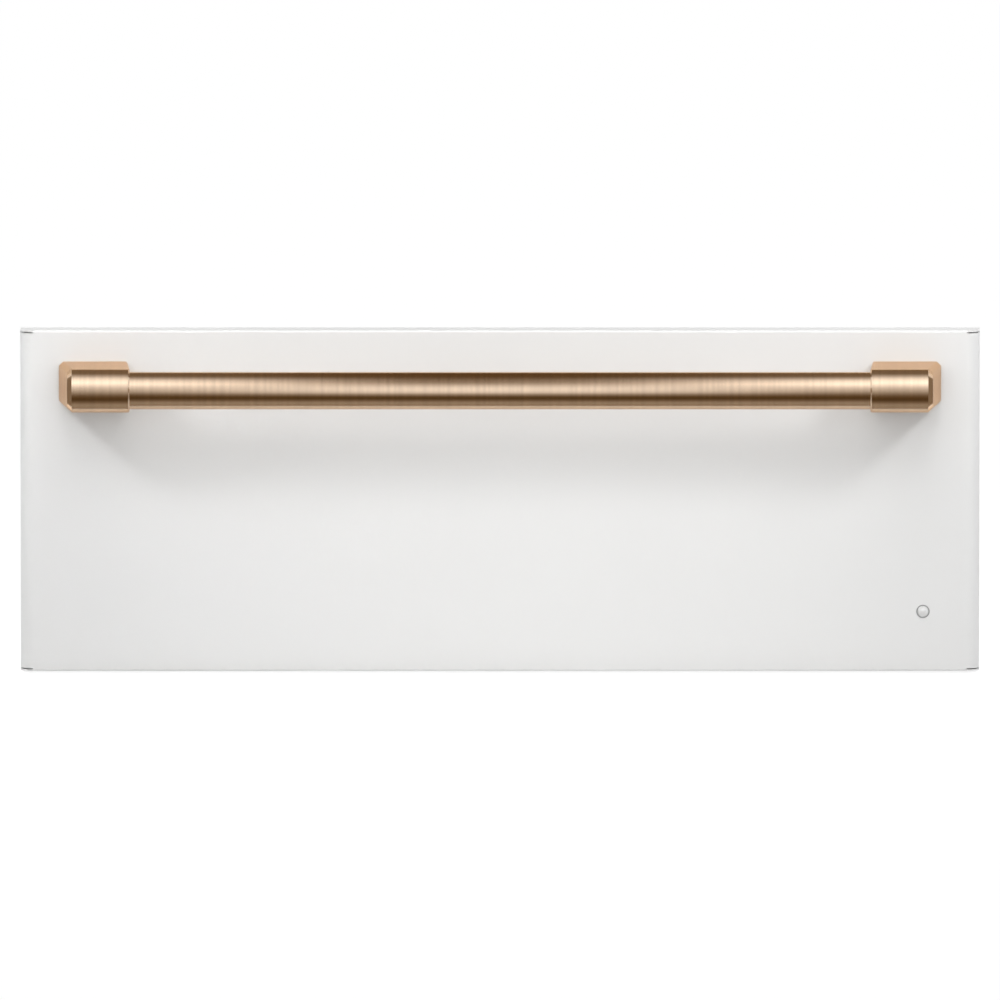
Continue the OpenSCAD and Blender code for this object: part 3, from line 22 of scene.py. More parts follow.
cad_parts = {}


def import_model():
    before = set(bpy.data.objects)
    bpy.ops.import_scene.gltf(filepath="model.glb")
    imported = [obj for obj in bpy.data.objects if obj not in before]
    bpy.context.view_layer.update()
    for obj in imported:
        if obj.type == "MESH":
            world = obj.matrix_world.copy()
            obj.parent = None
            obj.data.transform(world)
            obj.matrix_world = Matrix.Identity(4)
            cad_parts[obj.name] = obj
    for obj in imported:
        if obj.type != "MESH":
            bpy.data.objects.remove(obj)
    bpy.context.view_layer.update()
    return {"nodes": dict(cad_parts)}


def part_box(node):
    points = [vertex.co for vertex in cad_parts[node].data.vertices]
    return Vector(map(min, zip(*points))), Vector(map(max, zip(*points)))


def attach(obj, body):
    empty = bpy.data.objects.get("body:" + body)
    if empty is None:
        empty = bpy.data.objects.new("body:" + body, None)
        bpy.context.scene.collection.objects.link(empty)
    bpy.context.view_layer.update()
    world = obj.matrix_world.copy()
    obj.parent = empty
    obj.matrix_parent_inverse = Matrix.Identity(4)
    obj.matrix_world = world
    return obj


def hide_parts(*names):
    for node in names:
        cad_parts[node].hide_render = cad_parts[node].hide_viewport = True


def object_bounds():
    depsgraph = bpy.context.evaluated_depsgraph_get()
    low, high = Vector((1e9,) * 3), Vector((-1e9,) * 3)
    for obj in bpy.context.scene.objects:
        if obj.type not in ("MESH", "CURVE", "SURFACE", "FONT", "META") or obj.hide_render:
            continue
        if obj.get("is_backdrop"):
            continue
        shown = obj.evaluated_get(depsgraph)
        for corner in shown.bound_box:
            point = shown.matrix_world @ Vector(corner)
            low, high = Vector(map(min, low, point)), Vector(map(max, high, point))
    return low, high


LOG = logging.getLogger("warming_drawer")
MM = 0.001
WHOLE = (0.0, 1.0)
Colour = Tuple[float, float, float]
Point = Tuple[float, float, float]
Tones = Tuple[Tuple[float, float], ...]
Mesh = bmesh.types.BMesh
Socket = bpy.types.NodeSocket
SocketValue = Union[float, Sequence[float], Socket]
Inputs = Dict[Union[str, int], SocketValue]


class Body(Enum):
    """Bodies of the frame that pieces ride on."""

    CHASSIS = "chassis"
    DRAWER = "drawer"
    POWER = "power_button"
    HEAT = "heat_button"
    TIMER = "timer_button"
    OUTER_CAGE_LEFT = "outer_ball_cage_left"
    OUTER_CAGE_RIGHT = "outer_ball_cage_right"
    INNER_CAGE_LEFT = "inner_ball_cage_left"
    INNER_CAGE_RIGHT = "inner_ball_cage_right"


class Grain(Enum):
    """How far the grain pattern is drawn out along X, Y and Z, in cycles a metre."""

    ROUND_X = (2600.0, 60.0, 60.0)
    ALONG_X = (40.0, 2200.0, 2200.0)
    ALONG_Y = (2200.0, 40.0, 2200.0)
    ROLLED = (420.0, 30.0, 420.0)


# ------------------------------------------------------------------ node trees


class Graph:
    """A shader node tree that is being filled."""

    def __init__(self, tree: bpy.types.NodeTree) -> None:
        """Starts on a material's, a world's or a group's tree, and empties it."""
        self.tree = tree
        tree.nodes.clear()

    def add(self, kind: str, inputs: Optional[Inputs] = None, **settings: object) -> bpy.types.Node:
        """Adds a node, sets its options and fills or links its inputs.

        Args:
            kind: Blender's type name, without the ShaderNode prefix.
            inputs: Value or source socket for each input, by name or index.
            settings: Attributes of the node.

        Returns:
            The new node.
        """
        node = self.tree.nodes.new("ShaderNode" + kind)
        for key, value in settings.items():
            setattr(node, key, value)
        for key, value in (inputs or {}).items():
            if isinstance(value, Socket):
                self.tree.links.new(value, node.inputs[key])
            else:
                node.inputs[key].default_value = value
        return node

    def end(self, shader: bpy.types.Node, kind: str = "OutputMaterial") -> None:
        """Joins a shader to the tree's output."""
        self.add(kind, {"Surface": shader.outputs[0]})

    def math(self, operation: str, *values: SocketValue, clamp: bool = False) -> Socket:
        """Gives the result of a Math node, held between 0 and 1 where clamp says so."""
        return self.add("Math", dict(enumerate(values)), operation=operation, use_clamp=clamp).outputs[0]

    def remap(
        self, value: SocketValue, source: Tuple[float, float], target: Tuple[float, float], **settings: object
    ) -> Socket:
        """Gives a value mapped from one range onto another and held at its ends."""
        ends = {"From Min": source[0], "From Max": source[1], "To Min": target[0], "To Max": target[1]}
        return self.add("MapRange", {"Value": value, **ends}, **settings).outputs["Result"]

    def mix(self, share: SocketValue, low: SocketValue, high: SocketValue) -> Socket:
        """Gives a mix of two colours, each a socket or four numbers."""
        return self.add("Mix", {0: share, 6: low, 7: high}, data_type="RGBA").outputs[2]

    def blend(self, share: SocketValue, low: Colour, high: Colour) -> Socket:
        """Gives a mix of two plain colours."""
        return self.mix(share, (*low, 1.0), (*high, 1.0))

    def bump(self, height: Socket, depth: float) -> Socket:
        """Gives a normal raised by a height from 0 to 1, depth millimetres deep."""
        return self.add("Bump", {"Strength": 1.0, "Distance": depth * MM, "Height": height}).outputs[0]

    def place(self) -> Socket:
        """Gives the point on the object, in metres."""
        return self.add("TexCoord").outputs["Object"]


def new_material(name: str) -> Tuple[bpy.types.Material, Graph]:
    """Makes a material.

    Args:
        name: Its name.

    Returns:
        The material and its empty graph.
    """
    made = bpy.data.materials.new(name)
    made.use_nodes = True
    return made, Graph(made.node_tree)


class Effect:
    """A shader node group, built once, that materials share."""

    def __init__(self, name: str, inputs: Dict[str, SocketValue], outputs: Iterable[str]) -> None:
        """Makes the group and its sockets.

        Args:
            name: The group's name.
            inputs: Name and starting value of each input; a sequence makes a vector.
            outputs: Names of the value outputs.
        """
        self.tree = bpy.data.node_groups.new(name, "ShaderNodeTree")
        self.graph = Graph(self.tree)
        for label, value in inputs.items():
            kind = "NodeSocketFloat" if isinstance(value, float) else "NodeSocketVector"
            socket = self.tree.interface.new_socket(name=label, in_out="INPUT", socket_type=kind)
            socket.default_value = value
        for label in outputs:
            self.tree.interface.new_socket(name=label, in_out="OUTPUT", socket_type="NodeSocketFloat")
        self.given = self.tree.nodes.new("NodeGroupInput").outputs
        self.result = self.tree.nodes.new("NodeGroupOutput").inputs

    def give(self, label: str, value: Socket) -> None:
        """Joins a value to one of the group's outputs."""
        self.tree.links.new(value, self.result[label])

    def put(self, graph: Graph, **values: SocketValue) -> Dict[str, Socket]:
        """Puts the group into a material.

        Args:
            graph: The material's graph.
            values: Input values by name.

        Returns:
            The group node's outputs by name.
        """
        return {socket.name: socket for socket in graph.add("Group", values, node_tree=self.tree).outputs}


@lru_cache(maxsize=None)
def grain_effect() -> Effect:
    """Builds the fine parallel lines that brushing or rolling leaves on metal.

    Returns:
        A group with Stretch in, and Lines and Streaks out, both from 0 to 1.
    """
    effect = Effect("Brushed grain", {"Stretch": (1.0, 1.0, 1.0)}, ("Lines", "Streaks"))
    graph = effect.graph
    drawn = graph.add("VectorMath", {0: graph.place(), 1: effect.given["Stretch"]}, operation="MULTIPLY").outputs[0]
    lines = graph.add("TexNoise", {"Vector": drawn, "Scale": 1.0, "Detail": 3.0, "Roughness": 0.65})
    streaks = graph.add("TexNoise", {"Vector": drawn, "Scale": 0.12, "Detail": 2.0, "Roughness": 0.5})
    effect.give("Lines", graph.remap(lines.outputs[0], (0.3, 0.7), WHOLE))
    effect.give("Streaks", graph.remap(streaks.outputs[0], (0.35, 0.65), WHOLE))
    return effect


@lru_cache(maxsize=None)
def mottle_effect() -> Effect:
    """Builds soft clouds, for handling marks and uneven tone.

    Returns:
        A group with Scale in, and Clouds out, from 0 to 1.
    """
    effect = Effect("Soft mottle", {"Scale": 8.0}, ("Clouds",))
    graph = effect.graph
    spread = {"Vector": graph.place(), "Scale": effect.given["Scale"], "Detail": 4.0, "Roughness": 0.55}
    effect.give("Clouds", graph.remap(graph.add("TexNoise", spread).outputs[0], (0.32, 0.68), WHOLE))
    return effect


@lru_cache(maxsize=None)
def stipple_effect() -> Effect:
    """Builds the fine bumps of powder coat, moulded plastic and rubber.

    Returns:
        A group with Scale in, and Height out.
    """
    effect = Effect("Fine stipple", {"Scale": 900.0}, ("Height",))
    graph = effect.graph
    spread = {"Vector": graph.place(), "Scale": effect.given["Scale"]}
    bumps = graph.add("TexNoise", {**spread, "Detail": 1.5})
    cells = graph.add("TexVoronoi", {**spread, "Smoothness": 1.0}, feature="SMOOTH_F1")
    effect.give("Height", graph.math("ADD", bumps.outputs[0], cells.outputs["Distance"]))
    return effect


@lru_cache(maxsize=None)
def wear_effect() -> Effect:
    """Builds a mask of the sharp edges, where a finish rubs thin.

    Returns:
        A group with Radius and Amount in, and Mask out, from 0 to 1.
    """
    effect = Effect("Edge wear", {"Radius": 0.0006, "Amount": 1.0}, ("Mask",))
    graph = effect.graph
    rounded = graph.add("Bevel", {"Radius": effect.given["Radius"]}, samples=4).outputs[0]
    flat = graph.add("NewGeometry").outputs["Normal"]
    facing = graph.add("VectorMath", {0: rounded, 1: flat}, operation="DOT_PRODUCT").outputs["Value"]
    edge = graph.remap(facing, (0.995, 0.85), WHOLE)
    patches = graph.add("TexNoise", {"Vector": graph.place(), "Scale": 160.0, "Detail": 3.0}).outputs[0]
    rubbed = graph.math("MULTIPLY", edge, graph.remap(patches, (0.4, 0.7), (0.25, 1.0)))
    effect.give("Mask", graph.math("MULTIPLY", rubbed, effect.given["Amount"], clamp=True))
    return effect


# ------------------------------------------------------------------ finishes


@dataclass(frozen=True)
class Finish:
    """A surface finish that becomes one material."""

    name: str
    colour: Colour
    roughness: float

    def material(self) -> bpy.types.Material:
        """Makes the material once.

        Returns:
            The new material, or the one already made.
        """
        made = bpy.data.materials.get(self.name)
        if made is None:
            made, graph = new_material(self.name)
            graph.end(graph.add("BsdfPrincipled", self.fill(graph)))
        return made

    def fill(self, graph: Graph) -> Inputs:
        """Gives the Principled BSDF's inputs.

        Args:
            graph: The material's graph.

        Returns:
            A map where an input changes over the surface, and else a plain value.
        """
        raise NotImplementedError

    def tinted(self, share: float) -> Colour:
        """Gives the finish's colour times a share."""
        return tuple(channel * share for channel in self.colour)

    def gloss(self, graph: Graph, mask: Socket, low: float, high: float) -> Socket:
        """Gives a roughness that differs from the finish's by low where the mask is 0, and by high where it is 1."""
        return graph.remap(mask, WHOLE, (self.roughness + low, self.roughness + high))

    @staticmethod
    def clouds(graph: Graph, scale: float) -> Socket:
        """Gives soft clouds from 0 to 1, at a scale in cycles a metre."""
        return mottle_effect().put(graph, Scale=scale)["Clouds"]

    @staticmethod
    def stippled(graph: Graph, scale: float, depth: float) -> Socket:
        """Gives a stippled normal, at a scale in cycles a metre and a depth in millimetres."""
        return graph.bump(stipple_effect().put(graph, Scale=scale)["Height"], depth)

    @staticmethod
    def rubbed(graph: Graph, tone: Socket, bare: Colour, radius: float, amount: float) -> Socket:
        """Rubs a tone thin along sharp edges.

        Args:
            graph: The material's graph.
            tone: The tone elsewhere.
            bare: The colour that it rubs down to.
            radius: How far from the edge, in millimetres.
            amount: How much, from 0 to 1.

        Returns:
            The colour.
        """
        mask = wear_effect().put(graph, Radius=radius * MM, Amount=amount)["Mask"]
        return graph.mix(mask, tone, (*bare, 1.0))


@dataclass(frozen=True)
class PowderCoat(Finish):
    """Satin paint with a fine peel."""

    peel: float = 0.004
    peel_scale: float = 700.0
    coat: float = 0.25

    def fill(self, graph: Graph) -> Inputs:
        """Gives a satin surface whose tone and gloss drift a little, thinner at the edges.

        Args:
            graph: The material's graph.

        Returns:
            The shader's inputs.
        """
        clouds = self.clouds(graph, 3.0)
        tone = graph.blend(clouds, self.tinted(0.992), self.colour)
        return {
            "Base Color": self.rubbed(graph, tone, self.tinted(0.9), radius=0.9, amount=0.35),
            "Roughness": self.gloss(graph, clouds, -0.03, 0.03),
            "Normal": self.stippled(graph, self.peel_scale, self.peel),
            "Coat Weight": self.coat,
            "Coat Roughness": 0.18,
        }


@dataclass(frozen=True)
class BrushedMetal(Finish):
    """Metal with fine parallel lines."""

    grain: Grain = Grain.ALONG_X
    depth: float = 0.0012
    spread: float = 0.08
    wear: float = 0.3
    marks: float = 0.05
    rim: Colour = (1.0, 1.0, 1.0)

    def fill(self, graph: Graph) -> Inputs:
        """Gives a metal whose lines catch light across the grain and whose edges are brighter.

        Args:
            graph: The material's graph.

        Returns:
            The shader's inputs.
        """
        brushing = grain_effect().put(graph, Stretch=self.grain.value)
        tone = graph.blend(brushing["Streaks"], self.tinted(0.95), self.tinted(1.03))
        lines = self.gloss(graph, brushing["Lines"], -self.spread / 2, self.spread / 2)
        handled = graph.remap(self.clouds(graph, 7.0), WHOLE, (-self.marks / 2, self.marks / 2))
        return {
            "Base Color": self.rubbed(graph, tone, self.tinted(1.22), radius=0.7, amount=self.wear),
            "Roughness": graph.math("ADD", lines, handled, clamp=True),
            "Normal": graph.bump(brushing["Lines"], self.depth),
            "Metallic": 1.0,
            "Specular Tint": (*self.rim, 1.0),
        }


@dataclass(frozen=True)
class ZincSheet(Finish):
    """Zinc-coated sheet with its crystal spangle."""

    spangle: float = 95.0
    contrast: float = 0.13
    jagged: float = 12.0

    def fill(self, graph: Graph) -> Inputs:
        """Gives a metal in patches of slightly different tone and gloss.

        Args:
            graph: The material's graph.

        Returns:
            The shader's inputs.
        """
        place = graph.place()
        bent = graph.add("TexNoise", {"Vector": place, "Scale": 60.0, "Detail": 2.0}).outputs["Color"]
        moved = graph.add("VectorMath", {0: bent, 1: (self.jagged * MM,) * 3}, operation="MULTIPLY").outputs[0]
        spot = graph.add("VectorMath", {0: place, 1: moved}, operation="ADD").outputs[0]
        cells = graph.add("TexVoronoi", {"Vector": spot, "Scale": self.spangle}).outputs["Color"]
        patch = graph.add("SeparateColor", {0: cells}).outputs[0]
        tone = graph.blend(patch, self.tinted(1.0 - self.contrast), self.tinted(1.0 + self.contrast))
        drift = graph.remap(self.clouds(graph, 5.0), WHOLE, (-0.04, 0.04))
        return {
            "Base Color": self.rubbed(graph, tone, self.tinted(1.25), radius=0.6, amount=0.5),
            "Roughness": graph.math("ADD", self.gloss(graph, patch, -0.07, 0.07), drift),
            "Normal": self.stippled(graph, scale=500.0, depth=0.003),
            "Metallic": 1.0,
        }


@dataclass(frozen=True)
class Moulding(Finish):
    """Moulded plastic, rubber or bare ceramic, with a stippled skin."""

    stipple: float = 0.003
    drift: float = 0.06
    coat: float = 0.0

    def fill(self, graph: Graph) -> Inputs:
        """Gives a non-metal whose tone drifts and whose edges are polished by handling.

        Args:
            graph: The material's graph.

        Returns:
            The shader's inputs.
        """
        clouds = self.clouds(graph, 25.0)
        tone = graph.blend(clouds, self.tinted(1.0 - self.drift), self.tinted(1.0 + self.drift))
        polished = tuple(0.9 * channel + 0.1 for channel in self.colour)
        return {
            "Base Color": self.rubbed(graph, tone, polished, radius=0.5, amount=0.3),
            "Roughness": self.gloss(graph, clouds, -0.05, 0.05),
            "Normal": self.stippled(graph, scale=1200.0, depth=self.stipple),
            "Coat Weight": self.coat,
            "Coat Roughness": 0.08,
        }


@dataclass(frozen=True)
class HotSheath(Finish):
    """Dark oxide on a heater's sheath, browner where it runs hottest."""

    hot: Colour = (0.20, 0.12, 0.08)

    def fill(self, graph: Graph) -> Inputs:
        """Gives a dull metal mottled between two oxides.

        Args:
            graph: The material's graph.

        Returns:
            The shader's inputs.
        """
        clouds = self.clouds(graph, 30.0)
        return {
            "Base Color": graph.blend(clouds, self.colour, self.hot),
            "Roughness": self.gloss(graph, clouds, -0.08, 0.08),
            "Normal": self.stippled(graph, scale=1500.0, depth=0.004),
            "Metallic": 0.85,
        }


@dataclass(frozen=True)
class Fibres(Finish):
    """Mineral wool or a braided sleeve, drawn out along one way."""

    stretch: Point = (900.0, 900.0, 250.0)
    depth: float = 0.4

    def fill(self, graph: Graph) -> Inputs:
        """Gives a dull fibrous surface.

        Args:
            graph: The material's graph.

        Returns:
            The shader's inputs.
        """
        fibres = grain_effect().put(graph, Stretch=self.stretch)
        return {
            "Base Color": graph.blend(fibres["Lines"], self.tinted(0.7), self.tinted(1.1)),
            "Roughness": self.gloss(graph, fibres["Streaks"], -0.05, 0.0),
            "Normal": graph.bump(fibres["Lines"], self.depth),
            "Sheen Weight": 0.3,
        }


@dataclass(frozen=True)
class CircuitBoard(Finish):
    """Green solder mask over copper tracks."""

    track: Colour = (0.09, 0.33, 0.20)

    def fill(self, graph: Graph) -> Inputs:
        """Gives a satin board with straight tracks under its mask.

        Args:
            graph: The material's graph.

        Returns:
            The shader's inputs.
        """
        grid = {"Vector": graph.place(), "Scale": 230.0}
        cells = graph.add("TexVoronoi", grid, distance="CHEBYCHEV").outputs[0]
        tracks = graph.remap(cells, (0.42, 0.46), WHOLE)
        return {
            "Base Color": graph.blend(tracks, self.colour, self.track),
            "Roughness": self.gloss(graph, tracks, 0.0, -0.1),
            "Normal": graph.bump(tracks, 0.03),
        }


@dataclass(frozen=True)
class LampLens(Finish):
    """Milky gloss lens of the indicator."""

    def fill(self, graph: Graph) -> Inputs:
        """Gives a translucent white with a clear skin.

        Args:
            graph: The material's graph.

        Returns:
            The shader's inputs.
        """
        clouds = self.clouds(graph, 300.0)
        return {
            "Base Color": graph.blend(clouds, self.tinted(0.97), self.colour),
            "Roughness": self.gloss(graph, clouds, 0.0, 0.04),
            "Subsurface Weight": 0.25,
            "Subsurface Radius": (0.002, 0.002, 0.002),
            "Coat Weight": 1.0,
            "Coat Roughness": 0.05,
            "Coat IOR": 2.0,
        }


@dataclass(frozen=True)
class Glow(Finish):
    """A lit or unlit mark behind the smoked display."""

    strength: float = 1.0

    def fill(self, graph: Graph) -> Inputs:
        """Gives a mark whose light is uneven, as over one small lamp.

        Args:
            graph: The material's graph.

        Returns:
            The shader's inputs.
        """
        clouds = self.clouds(graph, 400.0)
        tone = graph.blend(clouds, self.tinted(0.85), self.colour)
        return {
            "Base Color": tone,
            "Emission Color": tone,
            "Roughness": self.gloss(graph, clouds, 0.0, 0.1),
            "Emission Strength": self.strength,
        }


class Finishes:
    """Every finish on the drawer."""

    WHITE = PowderCoat("satin_white", (0.875, 0.878, 0.875), 0.38)
    FRAME = PowderCoat("frame_paint", (0.70, 0.70, 0.69), 0.45, peel=0.006)
    BRONZE = BrushedMetal(
        "brushed_bronze", (0.76, 0.58, 0.43), 0.17, grain=Grain.ROUND_X, depth=0.0010, spread=0.05, wear=0.12,
        marks=0.02, rim=(0.88, 0.68, 0.50),
    )
    ZINC = ZincSheet("zinc_sheet", (0.60, 0.61, 0.62), 0.42)
    PLATED = BrushedMetal("plated_screws", (0.66, 0.66, 0.67), 0.30, grain=Grain.ROLLED, depth=0.0006)
    LINER_X = BrushedMetal("liner_stainless", (0.66, 0.655, 0.645), 0.33, grain=Grain.ALONG_X)
    LINER_Y = BrushedMetal("side_stainless", (0.66, 0.655, 0.645), 0.33, grain=Grain.ALONG_Y)
    PAN = BrushedMetal("pan_stainless", (0.70, 0.695, 0.685), 0.24, grain=Grain.ALONG_X, depth=0.0008)
    RACK = BrushedMetal(
        "rack_chrome", (0.78, 0.78, 0.79), 0.09, grain=Grain.ROLLED, depth=0.0002, spread=0.03, wear=0.1
    )
    SLIDE = BrushedMetal("slide_steel", (0.62, 0.63, 0.65), 0.27, grain=Grain.ALONG_Y, depth=0.0008)
    BALLS = BrushedMetal("bearing_steel", (0.72, 0.72, 0.73), 0.08, grain=Grain.ROLLED, depth=0.0001, wear=0.0)
    CAGE = BrushedMetal("cage_brass", (0.72, 0.53, 0.26), 0.30, grain=Grain.ALONG_Y, depth=0.0006)
    SHEATH = HotSheath("heater_sheath", (0.075, 0.072, 0.072), 0.52)
    RUBBER = Moulding("foot_rubber", (0.035, 0.035, 0.036), 0.62, stipple=0.01)
    SEAL = Moulding("door_seal", (0.11, 0.11, 0.112), 0.55, stipple=0.006)
    BLACK = Moulding("black_plastic", (0.022, 0.022, 0.024), 0.28, stipple=0.001, coat=0.3)
    BUTTON = Moulding("button_plastic", (0.80, 0.80, 0.79), 0.32, stipple=0.001, coat=0.2)
    PRINT = Moulding("button_marks", (0.10, 0.10, 0.11), 0.40, stipple=0.001)
    CERAMIC = Moulding("ceramic", (0.82, 0.78, 0.70), 0.55, stipple=0.01)
    WOOL = Fibres("mineral_wool", (0.66, 0.60, 0.42), 0.95)
    SLEEVE = Fibres("lead_sleeve", (0.50, 0.13, 0.08), 0.75, stretch=(1500.0, 1500.0, 1500.0), depth=0.08)
    BOARD = CircuitBoard("circuit_board", (0.03, 0.17, 0.09), 0.38)
    LENS = LampLens("lamp_lens", (0.84, 0.85, 0.85), 0.08)
    HOLDER = Moulding("lamp_holder", (0.42, 0.42, 0.425), 0.40, stipple=0.001)
    SMOKED = Moulding("smoked_window", (0.012, 0.016, 0.018), 0.06, stipple=0.0, drift=0.2, coat=1.0)
    LIT = Glow("lit_mark", (0.72, 0.88, 1.0), 0.4, strength=1.6)
    UNLIT = Glow("unlit_mark", (0.10, 0.12, 0.14), 0.4, strength=0.15)


# ------------------------------------------------------------------ mesh tools


def add_piece(name: str, mesh: Mesh, finish: Finish, body: Body, sharp: float = 35.0) -> bpy.types.Object:
    """Turns a finished mesh into a piece that rides on a body.

    Args:
        name: The piece's name.
        mesh: Its shape in the row's frame, in metres. It is freed.
        finish: Its finish.
        body: The body it rides on.
        sharp: Edges that turn by more than this, in degrees, stay sharp.

    Returns:
        The new object.
    """
    bmesh.ops.recalc_face_normals(mesh, faces=mesh.faces)
    data = bpy.data.meshes.new(name)
    mesh.to_mesh(data)
    mesh.free()
    data.shade_smooth()
    data.set_sharp_from_angle(angle=math.radians(sharp))
    data.materials.append(finish.material())
    piece = bpy.data.objects.new(name, data)
    bpy.context.scene.collection.objects.link(piece)
    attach(piece, body.value)
    LOG.info("%s: %d faces, on %s", name, len(data.polygons), body.value)
    return piece


def turns(steps: int) -> List[float]:
    """Gives the angles of an even turn, in radians."""
    return [2 * math.pi * k / steps for k in range(steps)]


def bridge(mesh: Mesh, rings: List[List[bmesh.types.BMVert]], closed: bool = False) -> None:
    """Joins rings of points with faces, and closes the first and last unless they are poles.

    Args:
        mesh: The mesh to add to.
        rings: The rings in order. A ring of one point is a pole.
        closed: Whether the last ring joins the first.
    """
    sides = max(len(ring) for ring in rings)
    for low, high in zip(rings, rings[1:] + (rings[:1] if closed else [])):
        for k in range(sides):
            after = k + 1
            corners = [low[k % len(low)], low[after % len(low)], high[after % len(high)], high[k % len(high)]]
            mesh.faces.new([v for i, v in enumerate(corners) if v not in corners[:i]])
    if not closed:
        for cap in (rings[0][::-1], rings[-1]):
            if len(cap) > 1:
                mesh.faces.new(cap)


def add_tube(mesh: Mesh, route: Sequence[Vector], radius: float, closed: bool = False, sides: int = 8) -> None:
    """Sweeps a round section along a route.

    Args:
        mesh: The mesh to add to.
        route: Points of the centre line, in metres.
        radius: The section's radius, in metres.
        closed: Whether the route ends where it starts.
        sides: Sides of the section.
    """
    count = len(route)
    rings, side = [], None
    for i, point in enumerate(route):
        ahead = route[(i + 1) % count] if closed or i < count - 1 else point
        behind = route[i - 1] if closed or i > 0 else point
        along = (ahead - behind).normalized()
        if side is None:
            side = along.orthogonal().normalized()
        side = (side - along * side.dot(along)).normalized()
        up = along.cross(side)
        rings.append([mesh.verts.new(point + (side * math.cos(t) + up * math.sin(t)) * radius) for t in turns(sides)])
    bridge(mesh, rings, closed)


def add_ring(mesh: Mesh, place: Matrix, radius: float, height: float, sides: int) -> List[bmesh.types.BMVert]:
    """Adds a ring of points round a matrix's Z axis.

    Args:
        mesh: The mesh to add to.
        place: Where the ring's axis is.
        radius: Its radius, in metres. With none, it is a pole.
        height: Its height along the axis, in metres.
        sides: Points in the ring.

    Returns:
        The points.
    """
    if not radius:
        return [mesh.verts.new(place @ Vector((0.0, 0.0, height)))]
    spots = (Vector((radius * math.cos(t), radius * math.sin(t), height)) for t in turns(sides))
    return [mesh.verts.new(place @ spot) for spot in spots]


@dataclass(frozen=True)
class Screw:
    """One screw of a CAD node, found from its mesh, in metres."""

    seat: Vector
    out: Vector
    head_radius: float
    head_rise: float
    shank_radius: float
    reach: float

    def place(self) -> Matrix:
        """Finds where the screw sits.

        Returns:
            The matrix that puts a screw drawn up the Z axis in its seat.
        """
        side = self.out.orthogonal().normalized()
        turn = Matrix((side, self.out.cross(side), self.out)).transposed()
        return Matrix.Translation(self.seat) @ turn.to_4x4()


def loose_parts(node: bpy.types.Object) -> List[np.ndarray]:
    """Splits a node's mesh into its separate solids.

    Args:
        node: The CAD node's object.

    Returns:
        The corner points of each solid.
    """
    data = node.data
    points = np.empty(len(data.vertices) * 3)
    data.vertices.foreach_get("co", points)
    points = points.reshape(-1, 3)
    same = 0.002 * MM
    _, ids = np.unique(np.round(points / same).astype(np.int64), axis=0, return_inverse=True)
    ids = ids.ravel()
    parent = list(range(int(ids.max()) + 1))

    def root(i: int) -> int:
        """Finds the first point of a solid.

        Args:
            i: Any point of it.

        Returns:
            The first point.
        """
        while parent[i] != i:
            parent[i] = parent[parent[i]]
            i = parent[i]
        return i

    for face in data.polygons:
        first, *rest = (root(int(ids[v])) for v in face.vertices)
        for other in rest:
            parent[root(other)] = root(first)
    roots = np.array([root(int(i)) for i in ids])
    return [points[roots == r] for r in np.unique(roots)]


def find_screw(points: np.ndarray) -> Screw:
    """Reads a screw's axis and sizes from its corner points.

    Args:
        points: Corner points of one screw.

    Returns:
        The screw.
    """
    near = 0.05 * MM
    low, high = points.min(0), points.max(0)
    spans = high - low
    axis = min(range(3), key=lambda k: abs(spans[(k + 1) % 3] - spans[(k + 2) % 3]))
    middle = (low + high) / 2
    around = [k for k in range(3) if k != axis]
    radii = np.linalg.norm(points[:, around] - middle[around], axis=1)
    at_low = radii[points[:, axis] < low[axis] + near].max()
    at_high = radii[points[:, axis] > high[axis] - near].max()
    sign = 1.0 if at_high > at_low else -1.0
    head_radius = float(radii.max())
    wide = points[radii > head_radius - near][:, axis]
    seat_at = wide.min() if sign > 0 else wide.max()
    end, tip = (high[axis], low[axis]) if sign > 0 else (low[axis], high[axis])
    seat, out = middle.copy(), np.zeros(3)
    seat[axis], out[axis] = seat_at, sign
    rise, shank, reach = abs(float(end - seat_at)), float(min(at_low, at_high)), abs(float(tip - seat_at))
    return Screw(Vector(seat), Vector(out), head_radius, rise, shank, reach)


def add_pan_head(mesh: Mesh, screw: Screw, turn: float) -> None:
    """Adds a pan-head screw with a cross recess.

    Args:
        mesh: The mesh to add to.
        screw: Where it sits and how big it is.
        turn: How far its recess is turned, in radians.
    """
    place = screw.place() @ Matrix.Rotation(turn, 4, "Z")
    radius, rise = screw.head_radius, screw.head_rise
    arm, slot, deep = 0.52 * radius, 0.13 * radius, 0.55 * rise
    corner, steps = slot * 1.42, 48

    def cross(height: float, share: float) -> List[bmesh.types.BMVert]:
        """Adds an outline of the recess, with as many points as a ring.

        Args:
            height: Its height along the screw's axis.
            share: Its size as a share of the recess's mouth.

        Returns:
            The points.
        """
        made = []
        for t in turns(steps):
            c, s = math.cos(t), math.sin(t)
            big, small = max(abs(c), abs(s)), min(abs(c), abs(s))
            reach = max(min(arm / big, slot / max(small, 1e-6)), corner)
            made.append(mesh.verts.new(place @ Vector((reach * share * c, reach * share * s, height))))
        return made

    profile = [(screw.shank_radius, -screw.reach), (screw.shank_radius, 0.0), (radius, 0.0)]
    profile += [(radius * out, rise * up) for out, up in ((1.0, 0.35), (0.93, 0.68), (0.78, 0.9), (0.6, 1.0))]
    rings = [add_ring(mesh, place, *at, steps) for at in profile]
    bridge(mesh, rings + [cross(rise, 1.0), cross(rise - deep, 0.55)])


